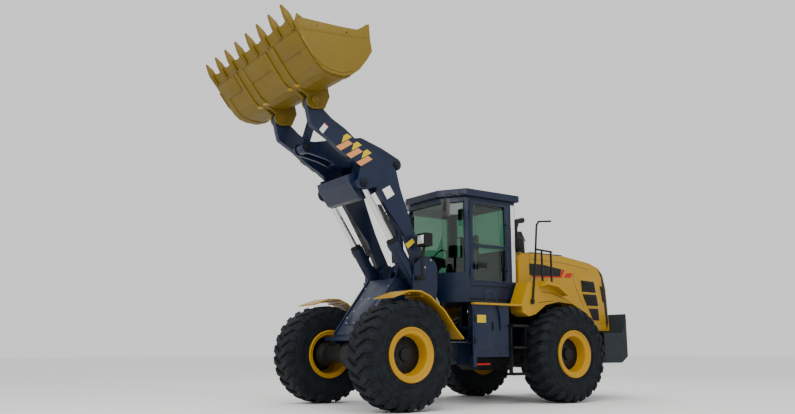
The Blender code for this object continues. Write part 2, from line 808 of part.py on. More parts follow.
def transmission():
    """One plain block hung under the deck."""
    top = RAIL_TOP - DECK_THICK - GAP
    case = [
        (0.50, 0.60),
        (0.50, 1.10),
        (0.62, top),
        (1.20, top),
        (1.32, 1.05),
        (1.32, 0.70),
        (1.15, 0.52),
        (0.62, 0.52),
    ]
    return plate(case, -0.24, 0.24)


def engine():
    """One plain block on the rails."""
    return box((-0.50, 1.45, RAIL_TOP - 0.005 + GAP), (0.50, 2.70, 2.05))


def counterweight():
    side = [
        (2.78, 0.63),
        (3.24, 0.63),
        (3.815, 1.0),
        (3.863, 1.205),
        (3.80, 1.47),
        (3.70, 1.508),
        (3.46, 1.508),
        (3.27, 1.16),
        (2.78, 1.16),
    ]
    mass = plate(side, -1.12, 1.12)
    corner = [(1.13, 3.40), (1.13, 3.90), (0.70, 3.90)]
    cuts = [plate(corner, 0.5, 1.6, PLAN), plate([(-x, y) for x, y in corner], 0.5, 1.6, PLAN)]
    return cut(mass, *cuts)


CAB_PLAN = [
    (CAB_HALF, CAB_REAR),
    (-CAB_HALF, CAB_REAR),
    (-CAB_HALF, -0.10),
    (-0.42, -0.36),
    (0.42, -0.36),
    (CAB_HALF, -0.10),
]


def inset(outline, wall):
    """A convex outline moved inwards by the wall."""
    points = [Vector(point) for point in outline]
    middle = sum(points, Vector((0, 0))) / len(points)
    result = []
    for index, point in enumerate(points):
        before = (point - points[index - 1]).normalized()
        after = (points[(index + 1) % len(points)] - point).normalized()
        first = Vector((-before.y, before.x))
        second = Vector((-after.y, after.x))
        if first.dot(middle - point) < 0:
            first, second = -first, -second
        corner = (first + second).normalized()
        result.append(tuple(point + corner * wall / corner.dot(first)))
    return result


def door_knuckles(rise, strap):
    """One half of each door hinge: a knuckle on the door's axis and the strap that holds it. The strap is
    a span in y counted from the axis."""
    x, y = DOOR_HINGE
    pieces = []
    for low in (2.02, 3.00):
        low += rise
        pieces.append(bar((x, y, low), (x, y, low + 0.06), 0.014, 16))
        foot = (CAB_HALF - 0.005, y + strap[0], low + 0.001)
        pieces.append(box(foot, (x + 0.004, y + strap[1], low + 0.059)))
    return pieces


def cab_shell():
    """Cab body: floor, sills, posts and top rails, with the doorway and the windows cut."""
    outer = plate(CAB_PLAN, CAB_FLOOR, CAB_TOP - GAP, PLAN)
    inner = plate(inset(CAB_PLAN, CAB_WALL), CAB_FLOOR + 0.06, CAB_TOP + 0.1, PLAN)
    window_low = 2.02
    window_top = CAB_TOP - 0.09
    door_low, door_high = CAB_DOOR_Y
    sill, lintel = CAB_DOOR_Z
    doorway = box((0.5, door_low - 0.005, sill - 0.005), (1.0, door_high + 0.005, lintel + 0.005))
    right_window = box((-1.0, 0.0, window_low), (-0.5, 0.80, window_top))
    rear_window = box((-0.70, 0.8, 2.55), (0.70, 1.1, window_top))
    front_plan = [(-0.78, -0.135), (-0.40, -0.6), (0.40, -0.6), (0.78, -0.135), (0.5, 0.0), (-0.5, 0.0)]
    front_window = plate(front_plan, 2.10, window_top, PLAN)
    shell = cut(outer, inner, doorway, right_window, rear_window, front_window)
    return united(shell, *door_knuckles(0.0, (-0.0325, -0.004)))


def windscreen():
    """Bent front glass that stands just inside the posts."""
    edge = inset(CAB_PLAN, CAB_WALL + GAP)
    path = [edge[2], edge[3], edge[4], edge[5]]
    start = Vector(path[0]).lerp(Vector(path[1]), 0.02)
    end = Vector(path[3]).lerp(Vector(path[2]), 0.02)
    path = [tuple(start), path[1], path[2], tuple(end)]
    return plate(thick(path, -GLASS), 2.05, CAB_TOP - 0.04, PLAN)


def cab_roof():
    over = 0.06
    plan = [(x * 1.07, y + (over if y > 0 else -0.07)) for x, y in CAB_PLAN]
    return plate(plan, CAB_TOP, CAB_TOP + ROOF_THICK, PLAN)


def side_glass():
    x = -CAB_HALF + CAB_WALL + GAP
    return box((x, -0.03, 1.99), (x + GLASS, 0.83, CAB_TOP - 0.06))


def rear_glass():
    y = CAB_REAR - CAB_WALL - GAP
    return box((-0.73, y - GLASS, 2.52), (0.73, y, CAB_TOP - 0.06))


def door():
    """Framed door with a lower and an upper light, and its grab bar."""
    low, high = CAB_DOOR_Y
    bottom, top = CAB_DOOR_Z
    leaf = box((CAB_HALF - 0.03, low, bottom), (CAB_HALF, high, top))
    lights = [
        box((0.7, low + 0.06, bottom + 0.08), (0.9, high - 0.06, 2.52)),
        box((0.7, low + 0.06, 2.57), (0.9, high - 0.06, top - 0.06)),
    ]
    y = high - 0.03
    x = CAB_HALF + 0.06
    grab = tube([(CAB_HALF - 0.01, y, 2.15), (x, y, 2.17), (x, y, 2.93), (CAB_HALF - 0.01, y, 2.95)], 0.014)
    return united(cut(leaf, *lights), grab, *door_knuckles(0.06 + GAP, (0.004, 0.0325)))


def door_glass():
    low, high = CAB_DOOR_Y
    x = CAB_HALF - 0.03 - GAP
    return box((x - GLASS, low + 0.03, CAB_DOOR_Z[0] + 0.05), (x, high - 0.03, CAB_DOOR_Z[1] - 0.03))


def seat():
    floor = CAB_FLOOR + 0.06 + GAP
    base = box((-0.2, 0.20, floor), (0.2, 0.55, 2.02))
    cushion = box((-0.26, 0.10, 2.0), (0.26, 0.62, 2.15))
    back = plate([(0.50, 2.10), (0.62, 2.10), (0.74, 2.86), (0.64, 2.88)], -0.24, 0.24)
    return united(cushion, base, back)


def cab_console():
    """Dash, steering column and wheel."""
    floor = CAB_FLOOR + 0.06 + GAP
    dash = plate([(-0.27, floor), (-0.12, floor), (-0.10, 2.02), (-0.16, 2.08), (-0.27, 2.06)], -0.28, 0.28)
    column = bar((0, -0.17, 2.0), (0, -0.05, 2.33), 0.04, 12)
    rim_disc = bar((0, -0.054, 2.32), (0, -0.042, 2.352), 0.2, 24)
    return united(dash, column, rim_disc)


def tank_plan(reach=0.0):
    out = TANK_OUT + reach
    return [(TANK_IN, 0.02), (TANK_OUT - 0.03, -0.27), (out, -0.27), (out, 0.50), (TANK_IN, 0.50)]


def tank():
    body = plate(tank_plan(), *TANK_Z, PLAN)
    foot = box((1.02, -0.27, 0.60), (TANK_OUT, -0.20, TANK_Z[0] + 0.02))
    return united(body, foot)


def platform():
    top = TANK_Z[1] + GAP
    plan = [
        (TANK_IN - 0.1, 0.09),
        (TANK_IN, 0.02),
        (1.07, -0.27),
        (1.16, -0.27),
        (1.16, 0.80),
        (0.89, 0.80),
        (0.89, 0.66),
        (TANK_IN - 0.1, 0.66),
    ]
    return plate(plan, top, top + PLATFORM_THICK, PLAN)


def ladder():
    """Two stringers with their rungs, hung on the tank's rear edge."""
    low_y, high_y = 0.52, 0.84
    x = 1.10
    pieces = []
    for y in (low_y, high_y):
        pieces.append(box((x - 0.03, y - 0.015, 0.46), (x + 0.03, y + 0.015, 1.27)))
    for z in (0.475, 0.895, 1.24):
        pieces.append(box((x - 0.09, low_y - 0.01, z - 0.0175), (x + 0.09, high_y + 0.01, z + 0.0175)))
    hanger = box((x - 0.02, 0.50 + GAP, 1.05), (x + 0.02, low_y, 1.15))
    return united(pieces[0], hanger, *pieces[1:])


def rear_fender():
    """Guard over the rear tyre with its deck."""
    side = [
        (0.74, 1.60),
        (0.90, 1.965),
        (1.20, 1.99),
        (1.48, 1.955),
        (1.75, 1.80),
        (2.10, 1.72),
        (2.52, 1.30),
        (2.44, 1.30),
        (2.20, 1.53),
        (1.95, 1.635),
        (1.60, 1.66),
        (1.30, 1.60),
        (1.05, 1.44),
        (0.90, 1.40),
        (0.76, 1.46),
    ]
    skirt = plate(side, HOOD_HALF + 0.01, FENDER_DECK_OUT)
    over = [(1.14, 1.90), (1.20, 1.985), (1.48, 1.95), (1.72, 1.80), (1.70, 1.76), (1.47, 1.90), (1.20, 1.93)]
    return united(skirt, plate(over, FENDER_DECK_OUT - 0.01, 1.30), platform())


def handrail():
    x = FENDER_DECK_OUT + GAP + TUBE_RADIUS
    post = [(x, 0.97, 1.60), (x, 1.06, 2.30), (x, 1.12, 2.93), (x, 1.17, 3.00), (x, 1.47, 3.035)]
    pieces = [
        tube([(x, 1.09, 2.52), (x, 1.46, 2.50)]),
        tube([(x, 1.22, 1.99), (x, 1.22, 2.52)]),
        tube([(x, 1.44, 1.96), (x, 1.44, 2.51)]),
        box((FENDER_DECK_OUT + GAP, 0.94, 1.61), (x + TUBE_RADIUS, 1.00, 1.68)),
    ]
    return united(tube(post), *pieces)


def hood_cowl():
    """Fixed section between the cab and the hood, with its half of the hood's hinges."""
    rear = HOOD_FRONT - 0.01
    side = [
        (CAB_REAR + 0.03, COWL_LOW),
        (rear, COWL_LOW),
        (rear, HOOD_TOP - 0.005),
        (CAB_REAR + 0.10, HOOD_TOP - 0.02),
        (CAB_REAR + 0.03, HOOD_TOP - 0.12),
    ]
    pieces = []
    for sign in (1, -1):
        low, high = sorted((sign * 0.50, sign * 0.58))
        pieces.append(bar(at(low, HOOD_HINGE), at(high, HOOD_HINGE), KNUCKLE_RADIUS, 16))
        pieces.append(box((low, rear - 0.05, HOOD_TOP - 0.02), (high, rear - 0.001, HOOD_TOP + 0.03)))
    return united(plate(side, -HOOD_HALF, HOOD_HALF), *pieces)


HOOD_SIDE = [
    (HOOD_FRONT, 1.68),
    (HOOD_FRONT, HOOD_TOP),
    (2.10, HOOD_TOP),
    (2.75, 2.42),
    (3.00, 2.34),
    (3.12, 2.22),
    (3.19, 1.95),
    (3.24, 1.20),
    (2.90, 1.20),
    (2.60, 1.40),
    (2.315, 1.68),
]


def hood():
    """Tilting hood: sides, top and rear, open in front and below."""
    outer = plate(HOOD_SIDE, -HOOD_HALF, HOOD_HALF)
    inner_side = [
        (HOOD_FRONT - 0.1, 1.0),
        (HOOD_FRONT - 0.1, HOOD_TOP - HOOD_WALL),
        (2.10, HOOD_TOP - HOOD_WALL),
        (2.745, 2.42 - HOOD_WALL),
        (2.98, 2.31),
        (3.09, 2.20),
        (3.16, 1.95),
        (3.21, 1.0),
    ]
    inner = plate(inner_side, -HOOD_HALF + HOOD_WALL, HOOD_HALF - HOOD_WALL)
    pieces = []
    for sign in (1, -1):
        low, high = sorted((sign * (0.58 + GAP), sign * 0.66))
        pieces.append(bar(at(low, HOOD_HINGE), at(high, HOOD_HINGE), KNUCKLE_RADIUS, 16))
        pieces.append(box((low, HOOD_FRONT, HOOD_TOP - 0.01), (high, HOOD_FRONT + 0.06, HOOD_TOP + 0.03)))
    return united(cut(outer, inner), *pieces)


def exhaust():
    """Air pre-cleaner and tail pipe on the hood."""
    base = bar((0.25, 1.60, HOOD_TOP + 0.02), (0.25, 1.60, 2.82), 0.11, 20)
    top = bar((0.25, 1.60, 2.81), (0.25, 1.60, 2.98), 0.13, 20, 0.06)
    foot = box((-0.20, 1.45, HOOD_TOP + GAP), (0.40, 1.95, HOOD_TOP + 0.05))
    bend = [(1.80, 2.53), (1.80, 3.10), (1.86, 3.24), (2.02, 3.28)]
    pipe = tube([at(-0.05, point) for point in bend], 0.055, 2)
    return united(foot, base, top, pipe)


def pivots():
    """Each moving piece and a point on its own joint's axis."""
    places = {
        "cab_door": (*DOOR_HINGE, CAB_DOOR_Z[0]),
        "door_glass": (*DOOR_HINGE, CAB_DOOR_Z[0]),
        "hood": at(0, HOOD_HINGE),
        "exhaust": at(0, HOOD_HINGE),
        "boom_arm_left": at(0, BOOM_PIVOT),
        "boom_arm_right": at(0, BOOM_PIVOT),
        "boom_crossbeam": at(0, BOOM_PIVOT),
        "rocker": at(0, ROCKER_PIVOT),
        "bucket_link": at(0, ROCKER_FRONT),
        "bucket_shell": at(0, BUCKET_PIN),
        "bucket_side_left": at(0, BUCKET_PIN),
        "bucket_side_right": at(0, BUCKET_PIN),
        "bucket_edge": at(0, BUCKET_PIN),
        "tilt_barrel": at(0, TILT_BASE),
        "tilt_rod": at(0, ROCKER_REAR),
    }
    for side, sign in (("left", 1), ("right", -1)):
        places["lift_barrel_" + side] = at(sign * LIFT_X, LIFT_BASE)
        places["lift_rod_" + side] = at(sign * LIFT_X, LIFT_EYE)
        places["steer_barrel_" + side] = (sign * STEER_BASE[0], STEER_BASE[1], STEER_Z)
        places["steer_rod_" + side] = (sign * STEER_EYE[0], STEER_EYE[1], STEER_Z)
        for end, y in (("front", FRONT_AXLE_Y), ("rear", REAR_AXLE_Y)):
            for piece in ("tyre", "rim"):
                places[f"{piece}_{end}_{side}"] = (sign * TRACK / 2, y, TYRE_RADIUS)
    return places


def set_pivot(name, place):
    """Moves a piece's origin onto its joint's axis and leaves its shape where it is."""
    obj = bpy.data.objects[name]
    obj.data.transform(Matrix.Translation(-Vector(place)))
    obj.location = place


PARTS = None
CUTTERS = None


def main():
    global PARTS, CUTTERS
    clear_scene()
    PARTS = collection("wheel_loader")
    CUTTERS = collection("cutters", hidden=True)

    wheels()
    named(axle(FRONT_AXLE_Y, AXLE_PAD_TOP), "front_axle", roughness=0.6)
    named(axle(REAR_AXLE_Y, RAIL_LOW), "rear_axle", roughness=0.6)

    named(front_frame(), "front_frame")
    pair(front_fender, "front_fender", colour=YELLOW)
    pair(headlamp, "headlamp", colour=DARK)
    pair(boom_arm, "boom_arm")
    named(boom_crossbeam(), "boom_crossbeam")
    named(rocker(), "rocker")
    named(bucket_link(), "bucket_link")
    lift_cylinders()
    tilt_cylinder()
    steering_cylinders()

    named(bucket_shell(), "bucket_shell", colour=OCHRE)
    pair(bucket_side, "bucket_side", colour=OCHRE)
    named(bucket_edge(), "bucket_edge", colour=OCHRE)

    named(rear_frame(), "rear_frame")
    named(transmission(), "transmission", colour=DARK)
    named(engine(), "engine", colour=DARK, roughness=0.7)
    named(counterweight(), "counterweight", colour=SLATE, roughness=0.55)
    named(cab_shell(), "cab_shell")
    named(cab_roof(), "cab_roof")
    named(windscreen(), "windscreen", colour=TINT, roughness=0.05)
    named(side_glass(), "window_right", colour=TINT, roughness=0.05)
    named(rear_glass(), "window_rear", colour=TINT, roughness=0.05)
    named(door(), "cab_door")
    named(door_glass(), "door_glass", colour=TINT, roughness=0.05)
    named(seat(), "seat", colour=DARK, roughness=0.9)
    named(cab_console(), "cab_console", colour=DARK, roughness=0.7)
    pair(tank, "tank", colour=SLATE)
    pair(ladder, "ladder")
    pair(rear_fender, "rear_fender", colour=YELLOW)
    pair(handrail, "handrail")
    named(hood_cowl(), "hood_cowl", colour=YELLOW)
    named(hood(), "hood", colour=YELLOW)
    named(exhaust(), "exhaust", colour=DARK)

    for name, place in pivots().items():
        set_pivot(name, place)


main()
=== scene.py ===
"""Wheel loader: paint, tyres, glass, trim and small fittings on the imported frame."""
import math

import bpy
from mathutils import Matrix, Vector


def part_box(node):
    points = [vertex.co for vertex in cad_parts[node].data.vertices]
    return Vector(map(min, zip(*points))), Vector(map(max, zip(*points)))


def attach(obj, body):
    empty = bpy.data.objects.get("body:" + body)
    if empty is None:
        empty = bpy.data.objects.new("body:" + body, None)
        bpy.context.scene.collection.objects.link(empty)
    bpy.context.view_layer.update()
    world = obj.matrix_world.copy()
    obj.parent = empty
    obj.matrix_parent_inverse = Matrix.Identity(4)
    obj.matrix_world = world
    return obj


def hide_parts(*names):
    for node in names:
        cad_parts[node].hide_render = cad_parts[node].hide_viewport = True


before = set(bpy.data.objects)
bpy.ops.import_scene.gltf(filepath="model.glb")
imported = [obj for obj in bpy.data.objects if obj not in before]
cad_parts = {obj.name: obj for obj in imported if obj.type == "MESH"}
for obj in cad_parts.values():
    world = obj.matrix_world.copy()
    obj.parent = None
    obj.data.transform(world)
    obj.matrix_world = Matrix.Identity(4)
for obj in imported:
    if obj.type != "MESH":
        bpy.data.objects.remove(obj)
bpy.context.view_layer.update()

bl_info = {
    "name": "Wheel loader",
    "version": (1, 0, 0),
    "blender": (4, 5, 0),
    "location": "View3D > Sidebar > Loader",
    "description": "Builds the paint, tyres, glass, trim and fittings of an articulated wheel loader",
    "category": "Object",
}

# Places shared with the frame, as (y, z) points
BUCKET_PIN = (-2.885, 4.51)
LIFT_EYE = (-1.987, 3.387)
LIFT_BASE = (-0.71, 1.50)
ROCKER_FRONT = (-2.72, 3.93)
ROCKER_REAR = (-1.06, 3.89)
EDGE_ROOT = Vector((-3.609, 5.164))
EDGE_ALONG = Vector((-0.602, 0.799))
EDGE_IN = Vector((0.799, 0.602))
EDGE_THICK = 0.034
BUCKET_SKIN = [
    (-3.609, 5.164), (-3.449, 4.955), (-3.29, 4.76), (-3.19, 4.685), (-3.07, 4.652),
    (-2.876, 4.648), (-2.73, 4.70), (-2.61, 4.80), (-2.48, 4.98), (-2.395, 5.13),
]
WHEELS = [
    ("front", "left", 1, -1.675),
    ("front", "right", -1, -1.675),
    ("rear", "left", 1, 1.675),
    ("rear", "right", -1, 1.675),
]
HUB_HEIGHT = 0.79
HALF_TRACK = 1.14
ARM_FACE = 0.5822
TOWER_FACE = 0.675


# Modelling helpers


def deselect():
    if bpy.context.object and bpy.context.object.mode != "OBJECT":
        bpy.ops.object.mode_set(mode="OBJECT")
    bpy.ops.object.select_all(action="DESELECT")


def take(obj):
    deselect()
    obj.select_set(True)
    bpy.context.view_layer.objects.active = obj


def settle(obj):
    """Puts a piece's place, turn and scale into its mesh."""
    take(obj)
    bpy.ops.object.transform_apply(location=True, rotation=True, scale=True)
    return obj


def finish_modifier(obj, kind, **settings):
    modifier = obj.modifiers.new(kind.lower(), kind)
    for key, value in settings.items():
        setattr(modifier, key, value)
    take(obj)
    bpy.ops.object.modifier_apply(modifier=modifier.name)
    return obj


def eased(obj, width, segments=2):
    """Rounds the sharp edges of a piece."""
    if width:
        finish_modifier(obj, "BEVEL", width=width, segments=segments, limit_method="ANGLE", angle_limit=0.6)
    return obj


def tidy_mesh(obj, merge=0.00005):
    take(obj)
    bpy.ops.object.mode_set(mode="EDIT")
    bpy.ops.mesh.select_all(action="SELECT")
    bpy.ops.mesh.remove_doubles(threshold=merge)
    bpy.ops.mesh.normals_make_consistent(inside=False)
    bpy.ops.object.mode_set(mode="OBJECT")
    return obj


def block(low, high, edge=0.004, segments=2):
    low = Vector(low)
    high = Vector(high)
    deselect()
    bpy.ops.mesh.primitive_cube_add(size=1, location=(low + high) / 2, scale=high - low)
    return eased(settle(bpy.context.object), edge, segments)


def drum(start, end, radius, end_radius=None, sides=32, edge=0.002):
    """A round bar or cone between two points."""
    start = Vector(start)
    end = Vector(end)
    along = end - start
    deselect()
    bpy.ops.mesh.primitive_cone_add(
        vertices=sides,
        radius1=radius,
        radius2=radius if end_radius is None else end_radius,
        depth=along.length,
        location=(start + end) / 2,
        rotation=along.to_track_quat("Z", "Y").to_euler(),
    )
    return eased(settle(bpy.context.object), edge, 1)


def raised(points, reach, edge):
    """A flat outline pushed out into a solid."""
    deselect()
    bpy.ops.mesh.primitive_circle_add(vertices=len(points), fill_type="NGON")
    obj = bpy.context.object
    for vertex, place in zip(obj.data.vertices, points):
        vertex.co = place
    bpy.ops.object.mode_set(mode="EDIT")
    bpy.ops.mesh.select_all(action="SELECT")
    bpy.ops.mesh.extrude_region_move(TRANSFORM_OT_translate={"value": reach})
    bpy.ops.object.mode_set(mode="OBJECT")
    return eased(tidy_mesh(settle(obj)), edge)


def slab(outline, low, high, edge=0.003):
    """A flat outline of (y, z) points given thickness along X."""
    return raised([(low, y, z) for y, z in outline], (high - low, 0, 0), edge)


def spun(profile, centre, steps=64):
    """A closed loop of (radius, offset) points turned about an axis along X through the centre."""
    deselect()
    bpy.ops.mesh.primitive_circle_add(vertices=len(profile), fill_type="NOTHING")
    obj = bpy.context.object
    for vertex, (radius, offset) in zip(obj.data.vertices, profile):
        vertex.co = Vector(centre) + Vector((offset, radius, 0))
    bpy.ops.object.mode_set(mode="EDIT")
    bpy.ops.mesh.select_all(action="SELECT")
    bpy.ops.mesh.spin(steps=steps, angle=math.tau, center=centre, axis=(1, 0, 0))
    bpy.ops.object.mode_set(mode="OBJECT")
    return tidy_mesh(obj)


def tube(points, radius, sides=3, cyclic=False, rounded=True):
    """A round tube along a path, with smooth bends."""
    curve = bpy.data.curves.new("path", "CURVE")
    curve.dimensions = "3D"
    curve.bevel_depth = radius
    curve.bevel_resolution = sides
    curve.use_fill_caps = True
    curve.resolution_u = 4
    if rounded and len(points) > 2:
        spline = curve.splines.new("NURBS")
        spline.order_u = 3
        spline.use_endpoint_u = True
    else:
        spline = curve.splines.new("POLY")
    spline.points.add(len(points) - 1)
    for end, place in zip(spline.points, points):
        end.co = (*place, 1)
    spline.use_cyclic_u = cyclic
    obj = bpy.data.objects.new("path", curve)
    bpy.context.scene.collection.objects.link(obj)
    take(obj)
    bpy.ops.object.convert(target="MESH")
    return tidy_mesh(bpy.context.object)


def joined(pieces):
    pieces = [piece for piece in pieces if piece]
    deselect()
    for piece in pieces:
        piece.select_set(True)
    bpy.context.view_layer.objects.active = pieces[0]
    if len(pieces) > 1:
        bpy.ops.object.join()
    return bpy.context.object


def copied(obj, matrix):
    """A copy with its own mesh, moved by a matrix."""
    take(obj)
    bpy.ops.object.duplicate(linked=False)
    new = bpy.context.object
    new.matrix_world = matrix
    return settle(new)


def other_side(obj):
    """The mirror image of a piece on the machine's other side."""
    return tidy_mesh(copied(obj, Matrix.Diagonal((-1, 1, 1, 1))), 0.000001)


def bolt(place, axis, size=0.012):
    """A washer with a hexagon head on a face."""
    place = Vector(place)
    axis = Vector(axis)
    washer = drum(place, place + axis * size * 0.25, size * 1.25, sides=20, edge=0)
    head = drum(place, place + axis * size * 0.9, size, sides=6, edge=size * 0.12)
    return joined([washer, head])


def bolts(places, axis, size=0.012):
    first = bolt((0, 0, 0), axis, size)
    made = [copied(first, Matrix.Translation(place)) for place in places]
    bpy.data.objects.remove(first)
    return joined(made)


def keep(obj, name, body, finish, smooth=40):
    """Names a finished piece, gives it its finish and lets it ride on a body."""
    obj.name = name
    obj.data.name = name
    obj.data.materials.clear()
    obj.data.materials.append(FINISHES[finish])
    take(obj)
    bpy.ops.object.shade_smooth_by_angle(angle=math.radians(smooth))
    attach(obj, body)
    return obj


def keep_pair(obj, name, body, finish, smooth=40):
    """Keeps a left-hand piece and its mirror image. The body's name may hold {side}."""
    right = other_side(obj)
    keep(obj, name + "_left", body.format(side="left"), finish, smooth)
    keep(right, name + "_right", body.format(side="right"), finish, smooth)


def at(x, place):
    return Vector((x, place[0], place[1]))


# Finishes

FINISHES = {}


def linear(code):
    """An sRGB hex value as linear colour."""
    parts = [int(code[i:i + 2], 16) / 255 for i in (0, 2, 4)]
    return (*[p / 12.92 if p <= 0.04045 else ((p + 0.055) / 1.055) ** 2.4 for p in parts], 1.0)


def add(tree, kind, sockets=None, **settings):
    """Adds a node with its settings, and sets or links its inputs."""
    node = tree.nodes.new(kind)
    for key, value in settings.items():
        setattr(node, key, value)
    for key, value in (sockets or {}).items():
        if isinstance(value, bpy.types.NodeSocket):
            tree.links.new(value, node.inputs[key])
        else:
            node.inputs[key].default_value = value
    return node


def fresh(name):
    material = bpy.data.materials.new(name)
    material.use_nodes = True
    tree = material.node_tree
    tree.nodes.clear()
    FINISHES[name] = material
    return tree


def close(tree, sockets):
    shader = add(tree, "ShaderNodeBsdfPrincipled", sockets)
    add(tree, "ShaderNodeOutputMaterial", {"Surface": shader.outputs["BSDF"]})


def own_place(tree):
    return add(tree, "ShaderNodeTexCoord").outputs["Object"]


def drift(tree, millimetres, detail=5.0, roughness=0.6, stretch=(1, 1, 1)):
    """Cloudy variation with features of a given size on the object's own coordinates."""
    mapped = add(tree, "ShaderNodeMapping", {"Vector": own_place(tree), "Scale": stretch}).outputs["Vector"]
    noise = add(
        tree,
        "ShaderNodeTexNoise",
        {"Vector": mapped, "Scale": 1000 / millimetres, "Detail": detail, "Roughness": roughness},
    )
    return noise.outputs["Fac"]


def spread(tree, value, low, high, start, end):
    """Remaps a value between two limits."""
    sockets = {"Value": value, 1: low, 2: high, 3: start, 4: end}
    return add(tree, "ShaderNodeMapRange", sockets).outputs["Result"]


def mixed(tree, factor, first, second):
    """Mixes two colours, each an sRGB hex value or a socket."""
    node = add(tree, "ShaderNodeMix", data_type="RGBA", blend_type="MIX")
    for socket, value in ((0, factor), (6, first), (7, second)):
        if isinstance(value, str):
            value = linear(value)
        if isinstance(value, bpy.types.NodeSocket):
            tree.links.new(value, node.inputs[socket])
        else:
            node.inputs[socket].default_value = value
    return node.outputs[2]


def bump(tree, height, depth, strength):
    sockets = {"Height": height, "Distance": depth, "Strength": strength}
    return add(tree, "ShaderNodeBump", sockets).outputs["Normal"]


def cells_of(tree, millimetres):
    """Cells of a given size on the object's own coordinates."""
    sockets = {"Vector": own_place(tree), "Scale": 1000 / millimetres}
    return add(tree, "ShaderNodeTexVoronoi", sockets).outputs["Distance"]


def enamel(name, tone, dusty, gloss=0.34, coat=0.35):
    """Two-pack enamel sprayed on plate steel: slight orange peel, broad tone drift, dust lying low and
    in patches, and a fine speckle of dirt."""
    tree = fresh(name)
    broad = spread(tree, drift(tree, 900), 0.35, 0.68, 0.0, 1.0)
    tinted = mixed(tree, broad, tone, mixed(tree, 0.35, tone, dusty))
    speck = spread(tree, drift(tree, 22, 8.0, 0.75), 0.62, 0.76, 0.0, 0.22)
    colour = mixed(tree, speck, tinted, dusty)
    rough = spread(tree, drift(tree, 160), 0.3, 0.7, gloss - 0.05, gloss + 0.12)
    peel = drift(tree, 7, 2.0)
    close(tree, {
        "Base Color": colour,
        "Roughness": rough,
        "Metallic": 0.0,
        "IOR": 1.36,
        "Coat Weight": coat,
        "Coat Roughness": 0.12,
        "Normal": bump(tree, peel, 0.0004, 0.35),
    })


def film(name, tone):
    """Printed vinyl film laid on the paint: even colour with a faint mottled sheen."""
    tree = fresh(name)
    faded = mixed(tree, spread(tree, drift(tree, 60), 0.3, 0.7, 0.0, 0.05), tone, "9a9a90")
    rough = spread(tree, drift(tree, 20), 0.3, 0.7, 0.3, 0.45)
    close(tree, {"Base Color": faded, "Roughness": rough, "IOR": 1.3})


def tyre_rubber():
    """Black natural-rubber compound, moulded: both tones tinted blue as a painted sheen, drifting at random
    between them, matt, fine pitting.
    """
    tree = fresh("tyre_rubber")
    bloom = spread(tree, drift(tree, 130, 6.0), 0.38, 0.66, 0.0, 1.0)
    # painted sheen: both rubber tones carry a blue tint that stands in for the lit sheen on the tyre
    colour = mixed(tree, bloom, "0b0f13", "171d23")
    rough = spread(tree, drift(tree, 45), 0.3, 0.7, 0.62, 0.82)
    pits = drift(tree, 6, 4.0)
    normal = bump(tree, pits, 0.0012, 0.5)
    close(tree, {"Base Color": colour, "Roughness": rough, "IOR": 1.28, "Normal": normal})


def hard_chrome():
    """Ground and polished hard chrome on ram rods: fine drawn lines round the rod and faint oil haze."""
    tree = fresh("hard_chrome")
    haze = spread(tree, drift(tree, 55), 0.35, 0.7, 0.10, 0.26)
    colour = mixed(tree, drift(tree, 200), "c4c6c6", "dadbd8")
    grind = drift(tree, 8, 3.0, 0.5, (1, 1, 9))
    normal = bump(tree, grind, 0.0001, 0.3)
    close(tree, {"Base Color": colour, "Metallic": 1.0, "Roughness": haze, "Normal": normal})


def zinc_steel():
    """Zinc-plated steel bolts and clips: pale grey crystals with duller patches."""
    tree = fresh("zinc_steel")
    cells = cells_of(tree, 9)
    colour = mixed(tree, cells, "b9bcbc", "8f9494")
    rough = spread(tree, cells, 0.0, 0.7, 0.3, 0.5)
    close(tree, {"Base Color": colour, "Metallic": 0.85, "Roughness": rough})


def cast_iron(name, tone, dusty):
    """Sand-cast iron under a thin coat of paint: coarse grain 9 mm across and oily dirt in drifts."""
    tree = fresh(name)
    dirt = spread(tree, drift(tree, 140, 6.0), 0.4, 0.65, 0.0, 1.0)
    colour = mixed(tree, dirt, tone, dusty)
    grain = drift(tree, 9, 6.0, 0.7)
    close(tree, {
        "Base Color": colour,
        "Metallic": 0.15,
        "Roughness": spread(tree, grain, 0.3, 0.7, 0.5, 0.75),
        "Normal": bump(tree, grain, 0.0015, 0.6),
    })


def moulded(name, tone, gloss, grain_mm):
    """Moulded plastic or rubber with a fine leather-like grain."""
    tree = fresh(name)
    cells = cells_of(tree, grain_mm)
    shade = mixed(tree, drift(tree, 120), tone, mixed(tree, 0.25, tone, "8a8a88"))
    close(tree, {
        "Base Color": shade,
        "Roughness": spread(tree, drift(tree, 30), 0.3, 0.7, gloss - 0.06, gloss + 0.1),
        "Normal": bump(tree, cells, 0.0008, 0.4),
    })


def cab_glass():
    """Float glass with a green body tint: clear, flat, a trace of dust."""
    tree = fresh("tinted_glass")
    dust = spread(tree, drift(tree, 300), 0.4, 0.75, 0.0, 0.05)
    tint = mixed(tree, drift(tree, 700), "6f9c88", "84ad99")
    close(tree, {"Base Color": tint, "Roughness": dust, "Transmission Weight": 1.0, "IOR": 1.5})


def lamp_glass():
    """Pressed lens over a bright reflector: silver with moulded flutes 8 mm wide."""
    tree = fresh("lamp_glass")
    place = own_place(tree)
    flutes = add(tree, "ShaderNodeTexWave", {"Vector": place, "Scale": 1000 / 8 / 6.28, "Distortion": 0.4})
    colour = mixed(tree, flutes.outputs["Fac"], "cfd4d6", "f2f4f4")
    close(tree, {
        "Base Color": colour,
        "Metallic": 0.5,
        "Roughness": 0.08,
        "Coat Weight": 1.0,
        "Coat Roughness": 0.02,
        "Normal": bump(tree, flutes.outputs["Fac"], 0.001, 0.4),
    })


def mirror_glass():
    """Silvered mirror glass with a faint film of dust."""
    tree = fresh("mirror_glass")
    haze = spread(tree, drift(tree, 80), 0.3, 0.7, 0.02, 0.08)
    colour = mixed(tree, drift(tree, 200), "b8c0c0", "d4d8d8")
    close(tree, {"Base Color": colour, "Metallic": 1.0, "Roughness": haze})


